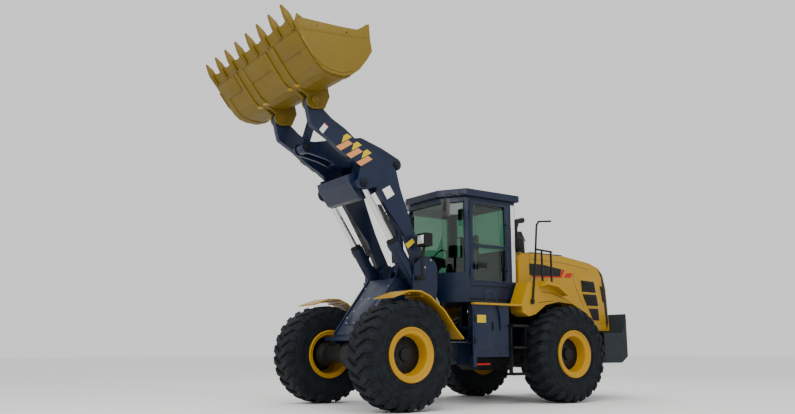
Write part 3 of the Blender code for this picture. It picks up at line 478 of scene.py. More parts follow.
def seat_cloth():
    """Woven polyester seat cloth: two threads crossing every 4 mm, drawn coarse enough to show."""
    tree = fresh("seat_cloth")
    place = own_place(tree)
    warp = add(tree, "ShaderNodeTexWave", {"Vector": place, "Scale": 1000 / 4 / 6.28}, bands_direction="X")
    weft = add(tree, "ShaderNodeTexWave", {"Vector": place, "Scale": 1000 / 4 / 6.28}, bands_direction="Y")
    cross = mixed(tree, 0.5, warp.outputs["Color"], weft.outputs["Color"])
    tone = mixed(tree, cross, "141518", "303338")
    close(tree, {
        "Base Color": tone,
        "Roughness": spread(tree, drift(tree, 50), 0.3, 0.7, 0.85, 0.95),
        "Sheen Weight": 0.3,
        "Normal": bump(tree, cross, 0.0006, 0.7),
    })


def studio_floor():
    """Matt pale studio floor."""
    tree = fresh("studio_floor")
    tone = mixed(tree, drift(tree, 2500), "f4f4f2", "f0f0ee")
    close(tree, {"Base Color": tone, "Roughness": 0.9})


def make_finishes(colours):
    enamel("golden_enamel", colours.golden, "a88618", 0.36, 0.1)
    enamel("rim_enamel", colours.rim, "a47a0c", 0.42, 0.0)
    enamel("bucket_enamel", colours.bucket, "746414", 0.5, 0.0)
    enamel("navy_enamel", colours.navy, "12233c", 0.34, 0.1)
    enamel("slate_enamel", colours.slate, "17232a", 0.45, 0.0)
    enamel("black_enamel", "050607", "0f0f0f", 0.48, 0.0)
    film("white_film", "dcdcd6")
    film("red_film", "b00600")
    film("yellow_film", "c8ac00")
    film("salmon_film", "d08a50")
    film("black_film", "040505")
    tyre_rubber()
    hard_chrome()
    zinc_steel()
    cast_iron("axle_casting", "0a0c10", "161616")
    cast_iron("engine_casting", "0e0f12", "1a1918")
    moulded("moulded_trim", "17181a", 0.55, 3)
    moulded("rubber_seal", "0c0d0e", 0.5, 5)
    moulded("hydraulic_hose", "111214", 0.45, 4)
    cab_glass()
    lamp_glass()
    mirror_glass()
    seat_cloth()
    studio_floor()


# What the loader is made of


def finish_frame(name, finish):
    """Gives a piece of the frame its finish."""
    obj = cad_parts[name]
    obj.data.materials.clear()
    obj.data.materials.append(FINISHES[finish])


def both(name):
    return [name + "_left", name + "_right"]


FRAME_FINISHES = {
    "navy_enamel": [
        "front_frame", "boom_crossbeam", "rocker", "bucket_link", "tilt_barrel", "rear_frame",
        "cab_shell", "cab_roof", "cab_door", *both("boom_arm"), *both("lift_barrel"),
        *both("steer_barrel"), *both("tank"),
    ],
    "slate_enamel": ["counterweight"],
    "black_enamel": [*both("ladder"), *both("handrail"), *both("headlamp"), "exhaust"],
    "golden_enamel": ["hood", "hood_cowl", *both("front_fender"), *both("rear_fender")],
    "bucket_enamel": ["bucket_shell", *both("bucket_side")],
    "hard_chrome": ["tilt_rod", *both("lift_rod"), *both("steer_rod")],
    "axle_casting": ["front_axle", "rear_axle"],
    "engine_casting": ["engine", "transmission"],
    "tinted_glass": ["windscreen", "window_right", "window_rear", "door_glass"],
    "moulded_trim": ["cab_console", "seat"],
}


def carcass(centre, half, radius):
    """The tyre's casing: bulged walls, shoulders and a flat crown."""
    side = [
        (0.346, 0.245), (0.40, 0.262), (0.50, 0.282), (0.58, 0.288), (0.66, 0.282), (0.72, 0.262),
        (0.752, 0.23), (0.757, 0.16), (0.758, 0.06),
    ]
    grow_side = half / 0.29
    grow = radius / 0.79
    profile = [(r * grow, x * grow_side) for r, x in side]
    profile += [(r, -x) for r, x in reversed(profile)]
    return spun(profile, centre, 96)


def lug_height(x, half, radius):
    """The tread's outer radius at a distance from the centre line."""
    share = abs(x) / half
    if share < 0.7:
        return radius
    return radius - (share - 0.7) ** 2 * radius * 1.1


def tread(centre, half, radius, count):
    """A ring of deep V-shaped lugs that wrap down the shoulders."""
    pitch = math.tau / count
    deselect()
    bpy.ops.mesh.primitive_grid_add(x_subdivisions=14, y_subdivisions=2, size=1)
    obj = bpy.context.object
    bpy.ops.object.mode_set(mode="EDIT")
    bpy.ops.mesh.select_all(action="SELECT")
    bpy.ops.mesh.extrude_region_move(TRANSFORM_OT_translate={"value": (0, 0, 1)})
    bpy.ops.object.mode_set(mode="OBJECT")
    for vertex in obj.data.vertices:
        across, along, level = vertex.co
        x = across * 2 * half
        share = abs(across) * 2
        lead = math.radians(9) * (1 - min(share / 0.8, 1.0))
        wide = pitch * (0.56 + 0.10 * share)
        angle = lead + along * wide
        top = lug_height(x, half, radius)
        low = radius * (0.955 - 0.09 * max(share - 0.85, 0) / 0.15)
        if share > 0.97:
            top = radius * 0.90
            low = radius * 0.84
        out = top if level > 0.5 else low
        if level > 0.5:
            angle = lead + along * wide * 0.86
        vertex.co = Vector(centre) + Vector((x, -math.sin(angle) * out, math.cos(angle) * out))
    tidy_mesh(obj)
    eased(obj, 0.006, 2)
    bpy.ops.object.mode_set(mode="EDIT")
    bpy.ops.mesh.select_all(action="SELECT")
    bpy.ops.mesh.spin(
        steps=count - 1,
        angle=math.tau - pitch,
        center=centre,
        axis=(1, 0, 0),
        dupli=True,
        use_auto_merge=False,
    )
    bpy.ops.object.mode_set(mode="OBJECT")
    return obj


def sidewall_ring(centre, side, radius, offset, size):
    """A raised moulded ring on the tyre's wall."""
    profile = [
        (radius - size, side * offset),
        (radius, side * (offset + size)),
        (radius + size, side * offset),
        (radius, side * (offset - size)),
    ]
    return spun(profile, centre, 96)


def tyre(centre, size):
    half = size.tyre_width / 2
    radius = size.tyre_diameter / 2
    body = carcass(centre, half, radius)
    rings = [
        sidewall_ring(centre, side, place * radius, off * half, 0.006)
        for side in (1, -1)
        for place, off in ((0.57, 0.95), (0.70, 0.985), (0.79, 0.985))
    ]
    return joined([body, tread(centre, half, radius, size.lugs), *rings])


RIM_LOOP = [
    (0.388, 0.250), (0.391, 0.268), (0.385, 0.281), (0.373, 0.285), (0.361, 0.279), (0.354, 0.268),
    (0.345, 0.262), (0.318, 0.262), (0.303, 0.258), (0.291, 0.246), (0.286, 0.228), (0.282, 0.105),
    (0.270, 0.085), (0.255, 0.080), (0.255, 0.060), (0.300, 0.055), (0.318, -0.10),
    (0.318, -0.255), (0.345, -0.262), (0.354, -0.268), (0.361, -0.279), (0.373, -0.285),
    (0.385, -0.281), (0.391, -0.268), (0.388, -0.250), (0.346, -0.246), (0.345, -0.24),
    (0.345, 0.24), (0.346, 0.246),
]
HUB_LOOP = [
    (0.0005, 0.150), (0.085, 0.150), (0.10, 0.140), (0.105, 0.110), (0.20, 0.100), (0.215, 0.092),
    (0.262, 0.088), (0.270, 0.070), (0.270, 0.03), (0.0005, 0.03),
]


def wheel_dish(side, centre):
    return spun([(radius, side * offset) for radius, offset in RIM_LOOP], centre, 72)


def wheel_hub(side, centre):
    hub = spun([(radius, side * offset) for radius, offset in HUB_LOOP], centre, 48)
    outer = []
    for count, ring, offset in ((16, 0.235, 0.090), (8, 0.16, 0.104)):
        for index in range(count):
            turn = math.tau * index / count
            place = Vector(centre) + Vector((side * offset, ring * math.cos(turn), ring * math.sin(turn)))
            outer.append(place)
    return joined([hub, bolts(outer, (side, 0, 0), 0.013)])


def on_edge(along, inward):
    """A (y, z) point measured from the root of the cutting edge."""
    return tuple(EDGE_ROOT + EDGE_ALONG * along + EDGE_IN * inward)


def edge_plate(half, count):
    """The cutting edge, with a shallow scallop between each pair of teeth."""
    first = half - 0.085
    pitch = 2 * first / (count - 1)
    plan = []
    for index in range(count * 8 - 7):
        x = -first + pitch * index / 8
        dip = math.sin(math.pi * (index % 8) / 8) ** 0.7 if index % 8 else 0
        plan.append((x, 0.225 - 0.055 * dip))
    outline = [(-half, 0.0), (-half, 0.20), *plan, (half, 0.20), (half, 0.0)]
    points = [(x, *on_edge(along, 0.0)) for x, along in outline]
    return raised(points, (0, EDGE_IN.x * EDGE_THICK, EDGE_IN.y * EDGE_THICK), 0.006)


def tooth(x, length):
    """A forged point on its adapter, which clasps the edge with three bolts."""
    lower = [on_edge(0.03, -0.001), on_edge(0.03, -0.026), on_edge(0.21, -0.034), on_edge(0.24, -0.001)]
    adapter = slab(lower, x - 0.05, x + 0.05, edge=0.008)
    upper = [on_edge(0.08, 0.035), on_edge(0.10, 0.056), on_edge(0.21, 0.054), on_edge(0.24, 0.035)]
    strap = slab(upper, x - 0.038, x + 0.038, edge=0.006)
    tip = [
        on_edge(0.19, -0.034), on_edge(0.19, 0.054), on_edge(0.27, 0.05), on_edge(0.33, 0.034),
        on_edge(length, 0.018), on_edge(length, 0.002), on_edge(0.32, -0.016),
        on_edge(0.26, -0.03),
    ]
    point_piece = slab(tip, x - 0.046, x + 0.046, edge=0)
    for vertex in point_piece.data.vertices:
        reach = (Vector((vertex.co.y, vertex.co.z)) - EDGE_ROOT).dot(EDGE_ALONG)
        taper = 1 - 0.5 * min(max((reach - 0.19) / 0.21, 0), 1)
        vertex.co.x = x + (vertex.co.x - x) * taper
    eased(point_piece, 0.006, 3)
    down = Vector((0, -EDGE_IN.x, -EDGE_IN.y))
    places = [at(x, on_edge(0.08 + 0.05 * index, -0.029)) for index in range(3)]
    return joined([adapter, strap, point_piece, bolts(places, down, 0.011)])


def skin_strip(low, high, first, last, thick, edge=0.004):
    """A plate laid on the bucket's skin between two of its bends."""
    path = [Vector(place) for place in BUCKET_SKIN[first:last + 1]]
    inner = []
    outer = []
    for index, place in enumerate(path):
        before = path[max(index - 1, 0)]
        after = path[min(index + 1, len(path) - 1)]
        along = (after - before).normalized()
        away = Vector((along.y, -along.x))
        if away.y > 0 and index < len(path) / 2:
            away = -away
        inner.append(tuple(place - away * 0.002))
        outer.append(tuple(place + away * thick))
    return slab(inner + outer[::-1], low, high, edge=edge)


def decal(outline, x, name, body, finish):
    """A thin film on a face that looks sideways, and its twin on the other side."""
    keep_pair(slab(outline, x, x + 0.0012, edge=0), name, body, finish)


def moved(outline, along, up):
    return [(u + along, v + up) for u, v in outline]


def pin_cap(x, place, radius, side=1):
    """A pin's end with its keeper bar and bolt."""
    y, z = place
    collar = drum((x - 0.004, y, z), (x + 0.010, y, z), radius * 1.25, sides=40, edge=0.003)
    end = drum((x, y, z), (x + 0.018, y, z), radius, sides=40, edge=0.004)
    lock = block((x + 0.006, y - 0.012, z - radius * 1.7), (x + 0.018, y + 0.022, z - radius * 0.6), 0.003)
    return joined([collar, end, lock, bolt((x + 0.018, y + 0.005, z - radius * 1.35), (1, 0, 0), 0.010)])


def gland(start, end, place, radius):
    """A ram's end cap: a ring round the rod and its wiper."""
    start = at(0, start)
    end = at(0, end)
    along = (end - start).normalized()
    middle = start + along * place
    ring = drum(middle - along * 0.05, middle + along * 0.012, radius * 1.10, sides=40, edge=0.004)
    wiper = drum(middle + along * 0.010, middle + along * 0.026, radius * 0.78, sides=32, edge=0.003)
    return joined([ring, wiper])


def moved_to(obj, x):
    obj.matrix_world = Matrix.Translation((x, 0, 0))
    return settle(obj)


def gasket(points, radius=0.007):
    """A black rubber channel round a window."""
    return tube(points, radius, 1, cyclic=True, rounded=False)


def lamp(centre, along, width, height, depth):
    """A square work lamp. Returns its housing and lens."""
    x, y, z = centre
    low = (x - width / 2, y - depth / 2, z - height / 2)
    high = (x + width / 2, y + depth / 2, z + height / 2)
    housing = block(low, high, 0.012, 3)
    face = y + along * depth / 2
    lens = block(
        (x - width * 0.42, min(face, face + along * 0.004), z - height * 0.42),
        (x + width * 0.42, max(face, face + along * 0.004), z + height * 0.42),
        0.0015,
    )
    return housing, lens


def cushion(low, high, cap):
    """A foam pad: a rounded block puffed out by pressure inside its cover, with no point moved further
    than the cap."""
    pad = block(low, high, 0.025, 3)
    finish_modifier(pad, "REMESH", mode="VOXEL", voxel_size=0.006)
    start = [vertex.co.copy() for vertex in pad.data.vertices]
    cloth = pad.modifiers.new("cloth", "CLOTH")
    cloth.settings.use_pressure = True
    cloth.settings.uniform_pressure_force = 4
    cloth.settings.effector_weights.gravity = 0
    for number in range(1, 21):
        bpy.context.scene.frame_set(number)
    take(pad)
    bpy.ops.object.modifier_apply(modifier="cloth")
    bpy.context.scene.frame_set(1)
    for vertex, place in zip(pad.data.vertices, start):
        step = vertex.co - place
        if step.length > cap:
            vertex.co = place + step.normalized() * cap
    return finish_modifier(pad, "SUBSURF", levels=1, render_levels=1)


# Settings


def colour_setting(name, about, value):
    return bpy.props.StringProperty(name=name, description=about, default=value)


def length_setting(name, about, value):
    return bpy.props.FloatProperty(
        name=name, description=about, default=value, unit="LENGTH", subtype="DISTANCE"
    )


class LoaderColours(bpy.types.PropertyGroup):
    golden: colour_setting("Body yellow", "Hood and fender enamel", "A88000")
    rim: colour_setting("Rim yellow", "Wheel rim enamel", "B08200")
    bucket: colour_setting("Bucket yellow", "Bucket enamel", "685200")
    navy: colour_setting("Navy", "Boom, frame and cab enamel", "071630")
    slate: colour_setting("Slate", "Counterweight enamel", "0B171F")


class LoaderSizes(bpy.types.PropertyGroup):
    tyre_diameter: length_setting("Tyre diameter", "Across the tread lugs", 1.58)
    tyre_width: length_setting("Tyre width", "Across the walls", 0.58)
    lugs: bpy.props.IntProperty(name="Lugs", description="Tread lugs round each tyre", default=26, min=12)
    bucket_half: length_setting("Bucket half", "Centre to the side plate", 1.41)
    teeth: bpy.props.IntProperty(name="Teeth", description="Teeth on the cutting edge", default=8, min=2)
    tooth_length: length_setting("Tooth length", "Root of the edge to the tip", 0.40)


# Operators


class LOADER_OT_stage(bpy.types.Operator):
    """Adds the camera, the soft studio lights and the pale floor"""

    bl_idname = "loader.stage"
    bl_label = "Stage"

    def execute(self, context):
        bpy.ops.object.camera_add(
            location=(10.11, -8.06, 0.868),
            rotation=(math.radians(100.7), 0, math.radians(54.8)),
        )
        camera = context.object
        camera.data.lens = 34.1
        camera.data.sensor_width = 36
        context.scene.camera = camera
        make_finishes(context.scene.loader_colours)
        bpy.ops.mesh.primitive_plane_add(size=160, location=(0, 0, -0.002))
        floor = settle(context.object)
        floor.name = "studio_floor"
        floor.data.materials.append(FINISHES["studio_floor"])
        world = bpy.data.worlds.new("studio")
        context.scene.world = world
        world.use_nodes = True
        background = world.node_tree.nodes["Background"]
        background.inputs["Color"].default_value = (1.0, 1.0, 1.0, 1.0)
        background.inputs["Strength"].default_value = 1.0
        for place, turn, size, power in (
            ((7, -3, 9), (38, 0, 66), 5, 420),
            ((3, -9, 7), (55, 0, 18), 5, 320),
            ((-4, 5, 9), (40, 0, 220), 5, 200),
        ):
            turns = [math.radians(angle) for angle in turn]
            bpy.ops.object.light_add(type="AREA", location=place, rotation=turns)
            context.object.data.size = size
            context.object.data.energy = power
        return {"FINISHED"}


class LOADER_OT_frame(bpy.types.Operator):
    """Paints the pieces that the frame brings"""

    bl_idname = "loader.frame"
    bl_label = "Frame finishes"

    def execute(self, context):
        for finish, names in FRAME_FINISHES.items():
            for name in names:
                finish_frame(name, finish)
        return {"FINISHED"}


class LOADER_OT_wheels(bpy.types.Operator):
    """Builds the tyres, rims and hubs"""

    bl_idname = "loader.wheels"
    bl_label = "Wheels"

    def execute(self, context):
        sizes = context.scene.loader_sizes
        first = (HALF_TRACK, WHEELS[0][3], HUB_HEIGHT)
        made = {
            1: (tyre(first, sizes), wheel_dish(1, first), wheel_hub(1, first)),
            -1: (None, wheel_dish(-1, first), wheel_hub(-1, first)),
        }
        for end, side, sign, y in WHEELS:
            move = Matrix.Translation((sign * HALF_TRACK - first[0], y - first[1], 0))
            body = f"wheel_{end}_{side}"
            label = f"{end}_{side}"
            rubber = copied(made[1][0], move)
            keep(rubber, "tyre_look_" + label, body, "tyre_rubber", 35)
            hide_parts("tyre_" + label)
            dish = copied(made[sign][1], move)
            keep(dish, "rim_look_" + label, body, "rim_enamel")
            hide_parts("rim_" + label)
            keep(copied(made[sign][2], move), "hub_" + label, body, "black_enamel")
        for group in made.values():
            for obj in group:
                if obj:
                    bpy.data.objects.remove(obj)
        return {"FINISHED"}


class LOADER_OT_bucket(bpy.types.Operator):
    """Builds the cutting edge, the teeth, the wear strips and the side bands"""

    bl_idname = "loader.bucket"
    bl_label = "Bucket"

    def execute(self, context):
        sizes = context.scene.loader_sizes
        half = sizes.bucket_half
        edge = edge_plate(half, sizes.teeth)
        keep(edge, "cutting_edge", "bucket_body", "bucket_enamel")
        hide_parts("bucket_edge")
        first = half - 0.055
        pitch = 2 * first / (sizes.teeth - 1)
        row = [tooth(-first + pitch * index, sizes.tooth_length) for index in range(sizes.teeth)]
        keep(joined(row), "bucket_teeth", "bucket_body", "bucket_enamel")
        strips = [skin_strip(0.36, 0.44, 0, 3, 0.018), skin_strip(0.60, 0.68, 0, 3, 0.018)]
        strips += [skin_strip(0.74, 1.405, 0, 1, 0.010), skin_strip(1.25, 1.405, 1, 6, 0.010)]
        keep_pair(joined(strips), "wear_plates", "bucket_body", "bucket_enamel")
        keep(skin_strip(-0.36, 0.36, 0, 1, 0.010), "centre_wear_plate", "bucket_body", "bucket_enamel")
        band = [(-3.609, 5.175), (-3.64, 5.385), (-3.54, 5.35), (-2.95, 5.372), (-2.66, 5.396), (-2.46, 5.3)]
        keep_pair(slab(band, 1.4395, 1.4435, edge=0.0015), "side_band", "bucket_body", "bucket_enamel")
        # painted highlight: two small ledges at the bucket's knee take the brighter body yellow instead of
        # the bucket yellow, standing in for a bright weld highlight
        ledges = [block((low, -3.215, 4.672), (low + 0.10, -3.125, 4.690), 0.004) for low in (0.36, 0.58)]
        keep_pair(joined(ledges), "highlight_ledges", "bucket_body", "golden_enamel")
        arc_out = [(-3.56, 5.07), (-3.40, 4.87), (-3.24, 4.74), (-3.10, 4.70), (-2.90, 4.69), (-2.72, 4.75)]
        arc_in = [(-2.73, 4.79), (-2.89, 4.73), (-3.09, 4.74), (-3.21, 4.78), (-3.36, 4.90), (-3.52, 5.10)]
        wear = slab(arc_out + arc_in, 1.4395, 1.446, edge=0.002)
        keep_pair(wear, "side_wear_strip", "bucket_body", "bucket_enamel")
        for x in (0.445, 0.615):
            keeper = pin_cap(x + 0.055, BUCKET_PIN, 0.05)
            keep_pair(keeper, f"bucket_pin_{round(x * 1000)}", "bucket_body", "bucket_enamel")
        holes = [bolt((1.4395, -3.32, 5.29), (1, 0, 0), 0.009), bolt((1.4395, -2.84, 5.31), (1, 0, 0), 0.012)]
        holes.append(bolt((1.4395, -3.60, 5.34), (1, 0, 0), 0.009))
        keep_pair(joined(holes), "side_bolts", "bucket_body", "black_enamel")
        return {"FINISHED"}


class LOADER_OT_boom(bpy.types.Operator):
    """Adds the boom's stripes, plates, pin ends and hoses"""

    bl_idname = "loader.boom"
    bl_label = "Boom"

    def execute(self, context):
        upper = [(-2.345, 4.069), (-2.282, 4.112), (-2.197, 4.068), (-2.380, 3.955)]
        lower = [(-2.476, 3.879), (-2.265, 4.012), (-2.179, 3.969), (-2.389, 3.83)]
        for index in range(3):
            step = (0.1815 * index, -0.097 * index)
            decal(moved(upper, *step), ARM_FACE, f"stripe_yellow_{index}", "boom_body", "yellow_film")
            decal(moved(lower, *step), ARM_FACE, f"stripe_salmon_{index}", "boom_body", "salmon_film")
        label = [(-2.77, 4.095), (-2.676, 4.215), (-2.614, 4.17), (-2.708, 4.04)]
        decal(label, ARM_FACE, "white_label", "boom_body", "white_film")
        edge = [(-2.676, 4.215), (-2.614, 4.17), (-2.622, 4.158), (-2.684, 4.203)]
        decal(edge, ARM_FACE + 0.0013, "label_edge", "boom_body", "red_film")
        plate = [(-1.63, 3.316), (-1.491, 3.40), (-1.397, 3.265), (-1.538, 3.173)]
        decal(plate, ARM_FACE, "blank_plate", "boom_body", "white_film")
        note = [(-1.19, 2.494), (-1.054, 2.595), (-1.003, 2.538), (-1.142, 2.425)]
        decal(note, ARM_FACE, "yellow_label", "boom_body", "yellow_film")
        lower_lines = [
            tube([(0.464, y - shift, z) for y, z in ((-1.16, 2.42), (-1.42, 2.84), (-1.58, 3.10))], 0.011, 2)
            for shift in (0.0, 0.03, 0.06)
        ]
        keep_pair(joined(lower_lines), "boom_hoses", "boom_body", "hydraulic_hose")
        keep_pair(pin_cap(0.642, LIFT_EYE, 0.045), "lift_pin", "boom_body", "black_enamel")
        keep_pair(pin_cap(0.146, ROCKER_REAR, 0.05), "rocker_rear_pin", "rocker_body", "black_enamel")
        keep_pair(pin_cap(0.146, ROCKER_FRONT, 0.05), "rocker_front_pin", "rocker_body", "black_enamel")
        return {"FINISHED"}


class LOADER_OT_rams(bpy.types.Operator):
    """Adds the lift rams' end caps, pipes and elbows"""

    bl_idname = "loader.rams"
    bl_label = "Rams"

    def execute(self, context):
        along = (Vector(LIFT_EYE) - Vector(LIFT_BASE)).normalized()
        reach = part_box("lift_barrel_left")[1][2] - LIFT_BASE[1]
        length = reach / along.y
        cap = moved_to(gland(LIFT_BASE, LIFT_EYE, length - 0.03, 0.085), 0.53)
        keep_pair(cap, "lift_gland", "lift_barrel_{side}_body", "black_enamel")
        across = Vector((-along.y, along.x))
        path = [
            Vector(LIFT_BASE) + along * 0.16 - across * 0.075,
            Vector(LIFT_BASE) + along * 0.20 - across * 0.115,
            Vector(LIFT_BASE) + along * 0.55 - across * 0.115,
            Vector(LIFT_BASE) + along * (length - 0.14) - across * 0.105,
            Vector(LIFT_BASE) + along * (length - 0.10) - across * 0.07,
        ]
        pipe = tube([at(0.53, place) for place in path], 0.012, 3)
        keep_pair(pipe, "lift_pipe", "lift_barrel_{side}_body", "black_enamel")
        elbows = []
        for shift in (0.0, 0.05):
            start = Vector(LIFT_BASE) + along * (0.10 + shift * 1.6) - across * 0.085
            path = [
                at(0.60, start),
                at(0.66, start - across * 0.05),
                at(0.66, start - across * 0.07 - along * 0.10),
                at(0.63, start - along * 0.15 - across * 0.03),
            ]
            elbows.append(tube(path, 0.013, 3))
        keep_pair(joined(elbows), "lift_elbows", "lift_barrel_{side}_body", "zinc_steel")
        return {"FINISHED"}


class LOADER_OT_front(bpy.types.Operator):
    """Adds the front frame's bolts, nose hatch and lamps, and the fenders' ribs"""

    bl_idname = "loader.front"
    bl_label = "Front frame"

    def execute(self, context):
        frame_bolts = [(-0.757, 2.259), (-0.876, 2.138)]
        places = [at(TOWER_FACE, place) for place in frame_bolts]
        keep_pair(bolts(places, (1, 0, 0), 0.014), "tower_bolts", "front_body", "zinc_steel")
        foot = Vector((-1.88, 1.10))
        head = Vector((-1.238, 1.975))
        out = Vector((-0.806, 0.592))
        edge_strip = slab([foot, head, head + out * 0.022, foot + out * 0.022], 0.372, 0.41)
        keep_pair(edge_strip, "nose_flange", "front_body", "navy_enamel")
        low = foot.lerp(head, 0.16)
        high = foot.lerp(head, 0.66)
        hatch = slab([low, high, high + out * 0.008, low + out * 0.008], -0.24, 0.24)
        keep(hatch, "nose_hatch", "front_body", "navy_enamel")
        columns = (-0.215, 0.0, 0.215)
        ring = [(x, share) for x in columns for share in (0.19, 0.41, 0.63) if x or share != 0.41]
        places = [at(x, foot.lerp(head, share) + out * 0.008) for x, share in ring]
        corners = [(x, share) for x in (-0.33, 0.33) for share in (0.3, 0.85)]
        places += [at(x, foot.lerp(head, share) + out * 0.001) for x, share in corners]
        normal = (0, out.x, out.y)
        keep(bolts(places, normal, 0.011), "nose_bolts", "front_body", "zinc_steel")
        low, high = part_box("headlamp_left")
        housing = block((low.x + 0.03, -1.055, 2.46), (high.x - 0.005, -0.905, 2.645), 0.02, 3)
        keep_pair(housing, "lamp_case", "front_body", "black_enamel")
        lens = block((low.x + 0.055, -1.062, 2.485), (high.x - 0.03, -1.050, 2.62), 0.004)
        keep_pair(lens, "lamp_lens", "front_body", "lamp_glass")
        for index, share in enumerate((0.2, 0.4, 0.6, 0.8)):
            turn = math.radians(72 + 80 * share)
            centre = Vector((0, WHEELS[0][3] + 0.03, HUB_HEIGHT + 0.02))
            reach = Vector((0, -math.cos(turn), math.sin(turn)))
            middle = centre + reach * 0.845
            rib = drum(middle + Vector((0.93, 0, 0)), middle + Vector((1.36, 0, 0)), 0.012)
            keep_pair(rib, f"fender_rib_{index}", "front_body", "golden_enamel")
        visor = block((low.x + 0.02, -1.058, 2.640), (high.x, -0.90, 2.650), 0.003)
        keep_pair(visor, "lamp_visor", "front_body", "black_enamel")
        return {"FINISHED"}


class LOADER_OT_cab(bpy.types.Operator):
    """Adds the cab's gaskets, mirrors, lamps, roof edge and controls"""

    bl_idname = "loader.cab"
    bl_label = "Cab"

    def execute(self, context):
        x = 0.9005
        for name, low, high in (("lower", 1.975, 2.515), ("upper", 2.575, 3.245)):
            frame_line = gasket([(x, -0.01, low), (x, 0.705, low), (x, 0.705, high), (x, -0.01, high)], 0.006)
            keep(frame_line, "door_gasket_" + name, "door_body", "rubber_seal")
        seams = [
            block((0.8295, -0.055, 1.87), (0.8325, 0.80, 1.878), 0.001),
            block((0.8295, 0.20, 1.64), (0.8325, 0.206, 1.87), 0.001),
            block((0.8295, -0.09, 1.66), (0.8345, 0.94, 1.685), 0.002),
        ]
        keep_pair(joined(seams), "cab_seams", "machine", "black_enamel")
        low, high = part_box("cab_roof")
        drip = block((high.x - 0.02, low.y + 0.10, 3.352), (high.x - 0.002, high.y - 0.05, 3.372), 0.004)
        keep_pair(drip, "roof_drip_edge", "machine", "black_enamel")
        grip = block((0.898, 0.06, 2.20), (0.918, 0.20, 2.235), 0.006)
        back = block((0.898, 0.03, 2.17), (0.906, 0.23, 2.262), 0.003)
        keep(joined([grip, back]), "door_handle", "door_body", "black_enamel")
        post = block((0.8285, 0.86, 1.98), (0.8345, 0.94, 3.30), 0.002)
        keep_pair(post, "cab_rear_pillar", "machine", "white_film")
        housing, lens = lamp((0.60, 0.97, 3.300), 1, 0.15, 0.08, 0.07)
        keep_pair(housing, "roof_lamp", "machine", "black_enamel")
        keep_pair(lens, "roof_lens", "machine", "lamp_glass")
        for side, sign in (("left", 1), ("right", -1)):
            path = [(0.84, -0.30, 3.33), (0.86, -0.57, 3.34), (0.85, -0.62, 3.10), (0.84, -0.56, 2.98)]
            arm = tube([(sign * x, y, z) for x, y, z in path], 0.011, 3)
            keep(arm, "mirror_arm_" + side, "machine", "black_enamel")
            shell = block((sign * 0.84 - 0.085, -0.60, 2.94), (sign * 0.84 + 0.085, -0.545, 3.24), 0.02, 3)
            keep(shell, "mirror_shell_" + side, "machine", "moulded_trim")
            glass = block((sign * 0.84 - 0.07, -0.548, 2.955), (sign * 0.84 + 0.07, -0.542, 3.225), 0.001)
            keep(glass, "mirror_glass_" + side, "machine", "mirror_glass")
        lamp_case = block((0.845, 0.955, 2.54), (0.93, 1.075, 2.74), 0.02, 3)
        keep_pair(lamp_case, "side_lamp", "machine", "black_enamel")
        lamp_lens = block((0.857, 1.072, 2.56), (0.918, 1.080, 2.72), 0.002)
        keep_pair(lamp_lens, "side_lamp_lens", "machine", "lamp_glass")
        turns = [math.tau * index / 10 for index in range(10)]
        ring = [(0.19 + 0.014 * math.cos(turn), 0.014 * math.sin(turn)) for turn in turns]
        wheel = spun(ring, (0, 0, 0), 48)
        lean = Matrix.Rotation(math.radians(69), 4, "X") @ Matrix.Rotation(math.radians(90), 4, "Y")
        wheel.data.transform(Matrix.Translation((0, -0.047, 2.372)) @ lean)
        keep(wheel, "steering_wheel", "machine", "moulded_trim")
        row = (0.10, 0.17, 0.24)
        levers = [drum((-0.42, y, 1.98), (-0.40, y - 0.02, 2.34), 0.008) for y in row]
        knobs = [drum((-0.402, y - 0.02, 2.31), (-0.398, y - 0.024, 2.37), 0.018, 0.012) for y in row]
        box_piece = block((-0.50, 0.02, 1.74), (-0.33, 0.46, 2.0), 0.02)
        keep(joined(levers + knobs + [box_piece]), "control_levers", "machine", "moulded_trim")
        return {"FINISHED"}


class LOADER_OT_seat(bpy.types.Operator):
    """Builds the driver's seat with its padded cushions"""

    bl_idname = "loader.seat"
    bl_label = "Seat"

    def execute(self, context):
        squab = cushion((-0.245, 0.115, 2.022), (0.245, 0.56, 2.135), 0.012)
        back = cushion((-0.225, 0.585, 2.15), (0.225, 0.675, 2.85), 0.012)
        seat = joined([squab, back])
        keep(seat, "seat_pads", "machine", "seat_cloth", 180)
        squab_edge = [(x, y, 2.08) for x, y in ((-0.235, 0.13), (0.235, 0.13), (0.235, 0.55), (-0.235, 0.55))]
        back_edge = [(x, 0.63, z) for x, z in ((-0.215, 2.17), (0.215, 2.17), (0.215, 2.83), (-0.215, 2.83))]
        welts = joined([gasket(squab_edge, 0.0125), gasket(back_edge, 0.0145)])
        keep(welts, "seat_welts", "machine", "rubber_seal")
        base = joined([
            block((-0.20, 0.20, 1.6805), (0.20, 0.55, 1.76), 0.01),
            block((-0.15, 0.24, 1.75), (0.15, 0.50, 1.95), 0.03, 3),
            block((-0.23, 0.13, 1.94), (0.23, 0.58, 2.02), 0.02),
        ])
        keep(base, "seat_base", "machine", "moulded_trim")
        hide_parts("seat")
        return {"FINISHED"}


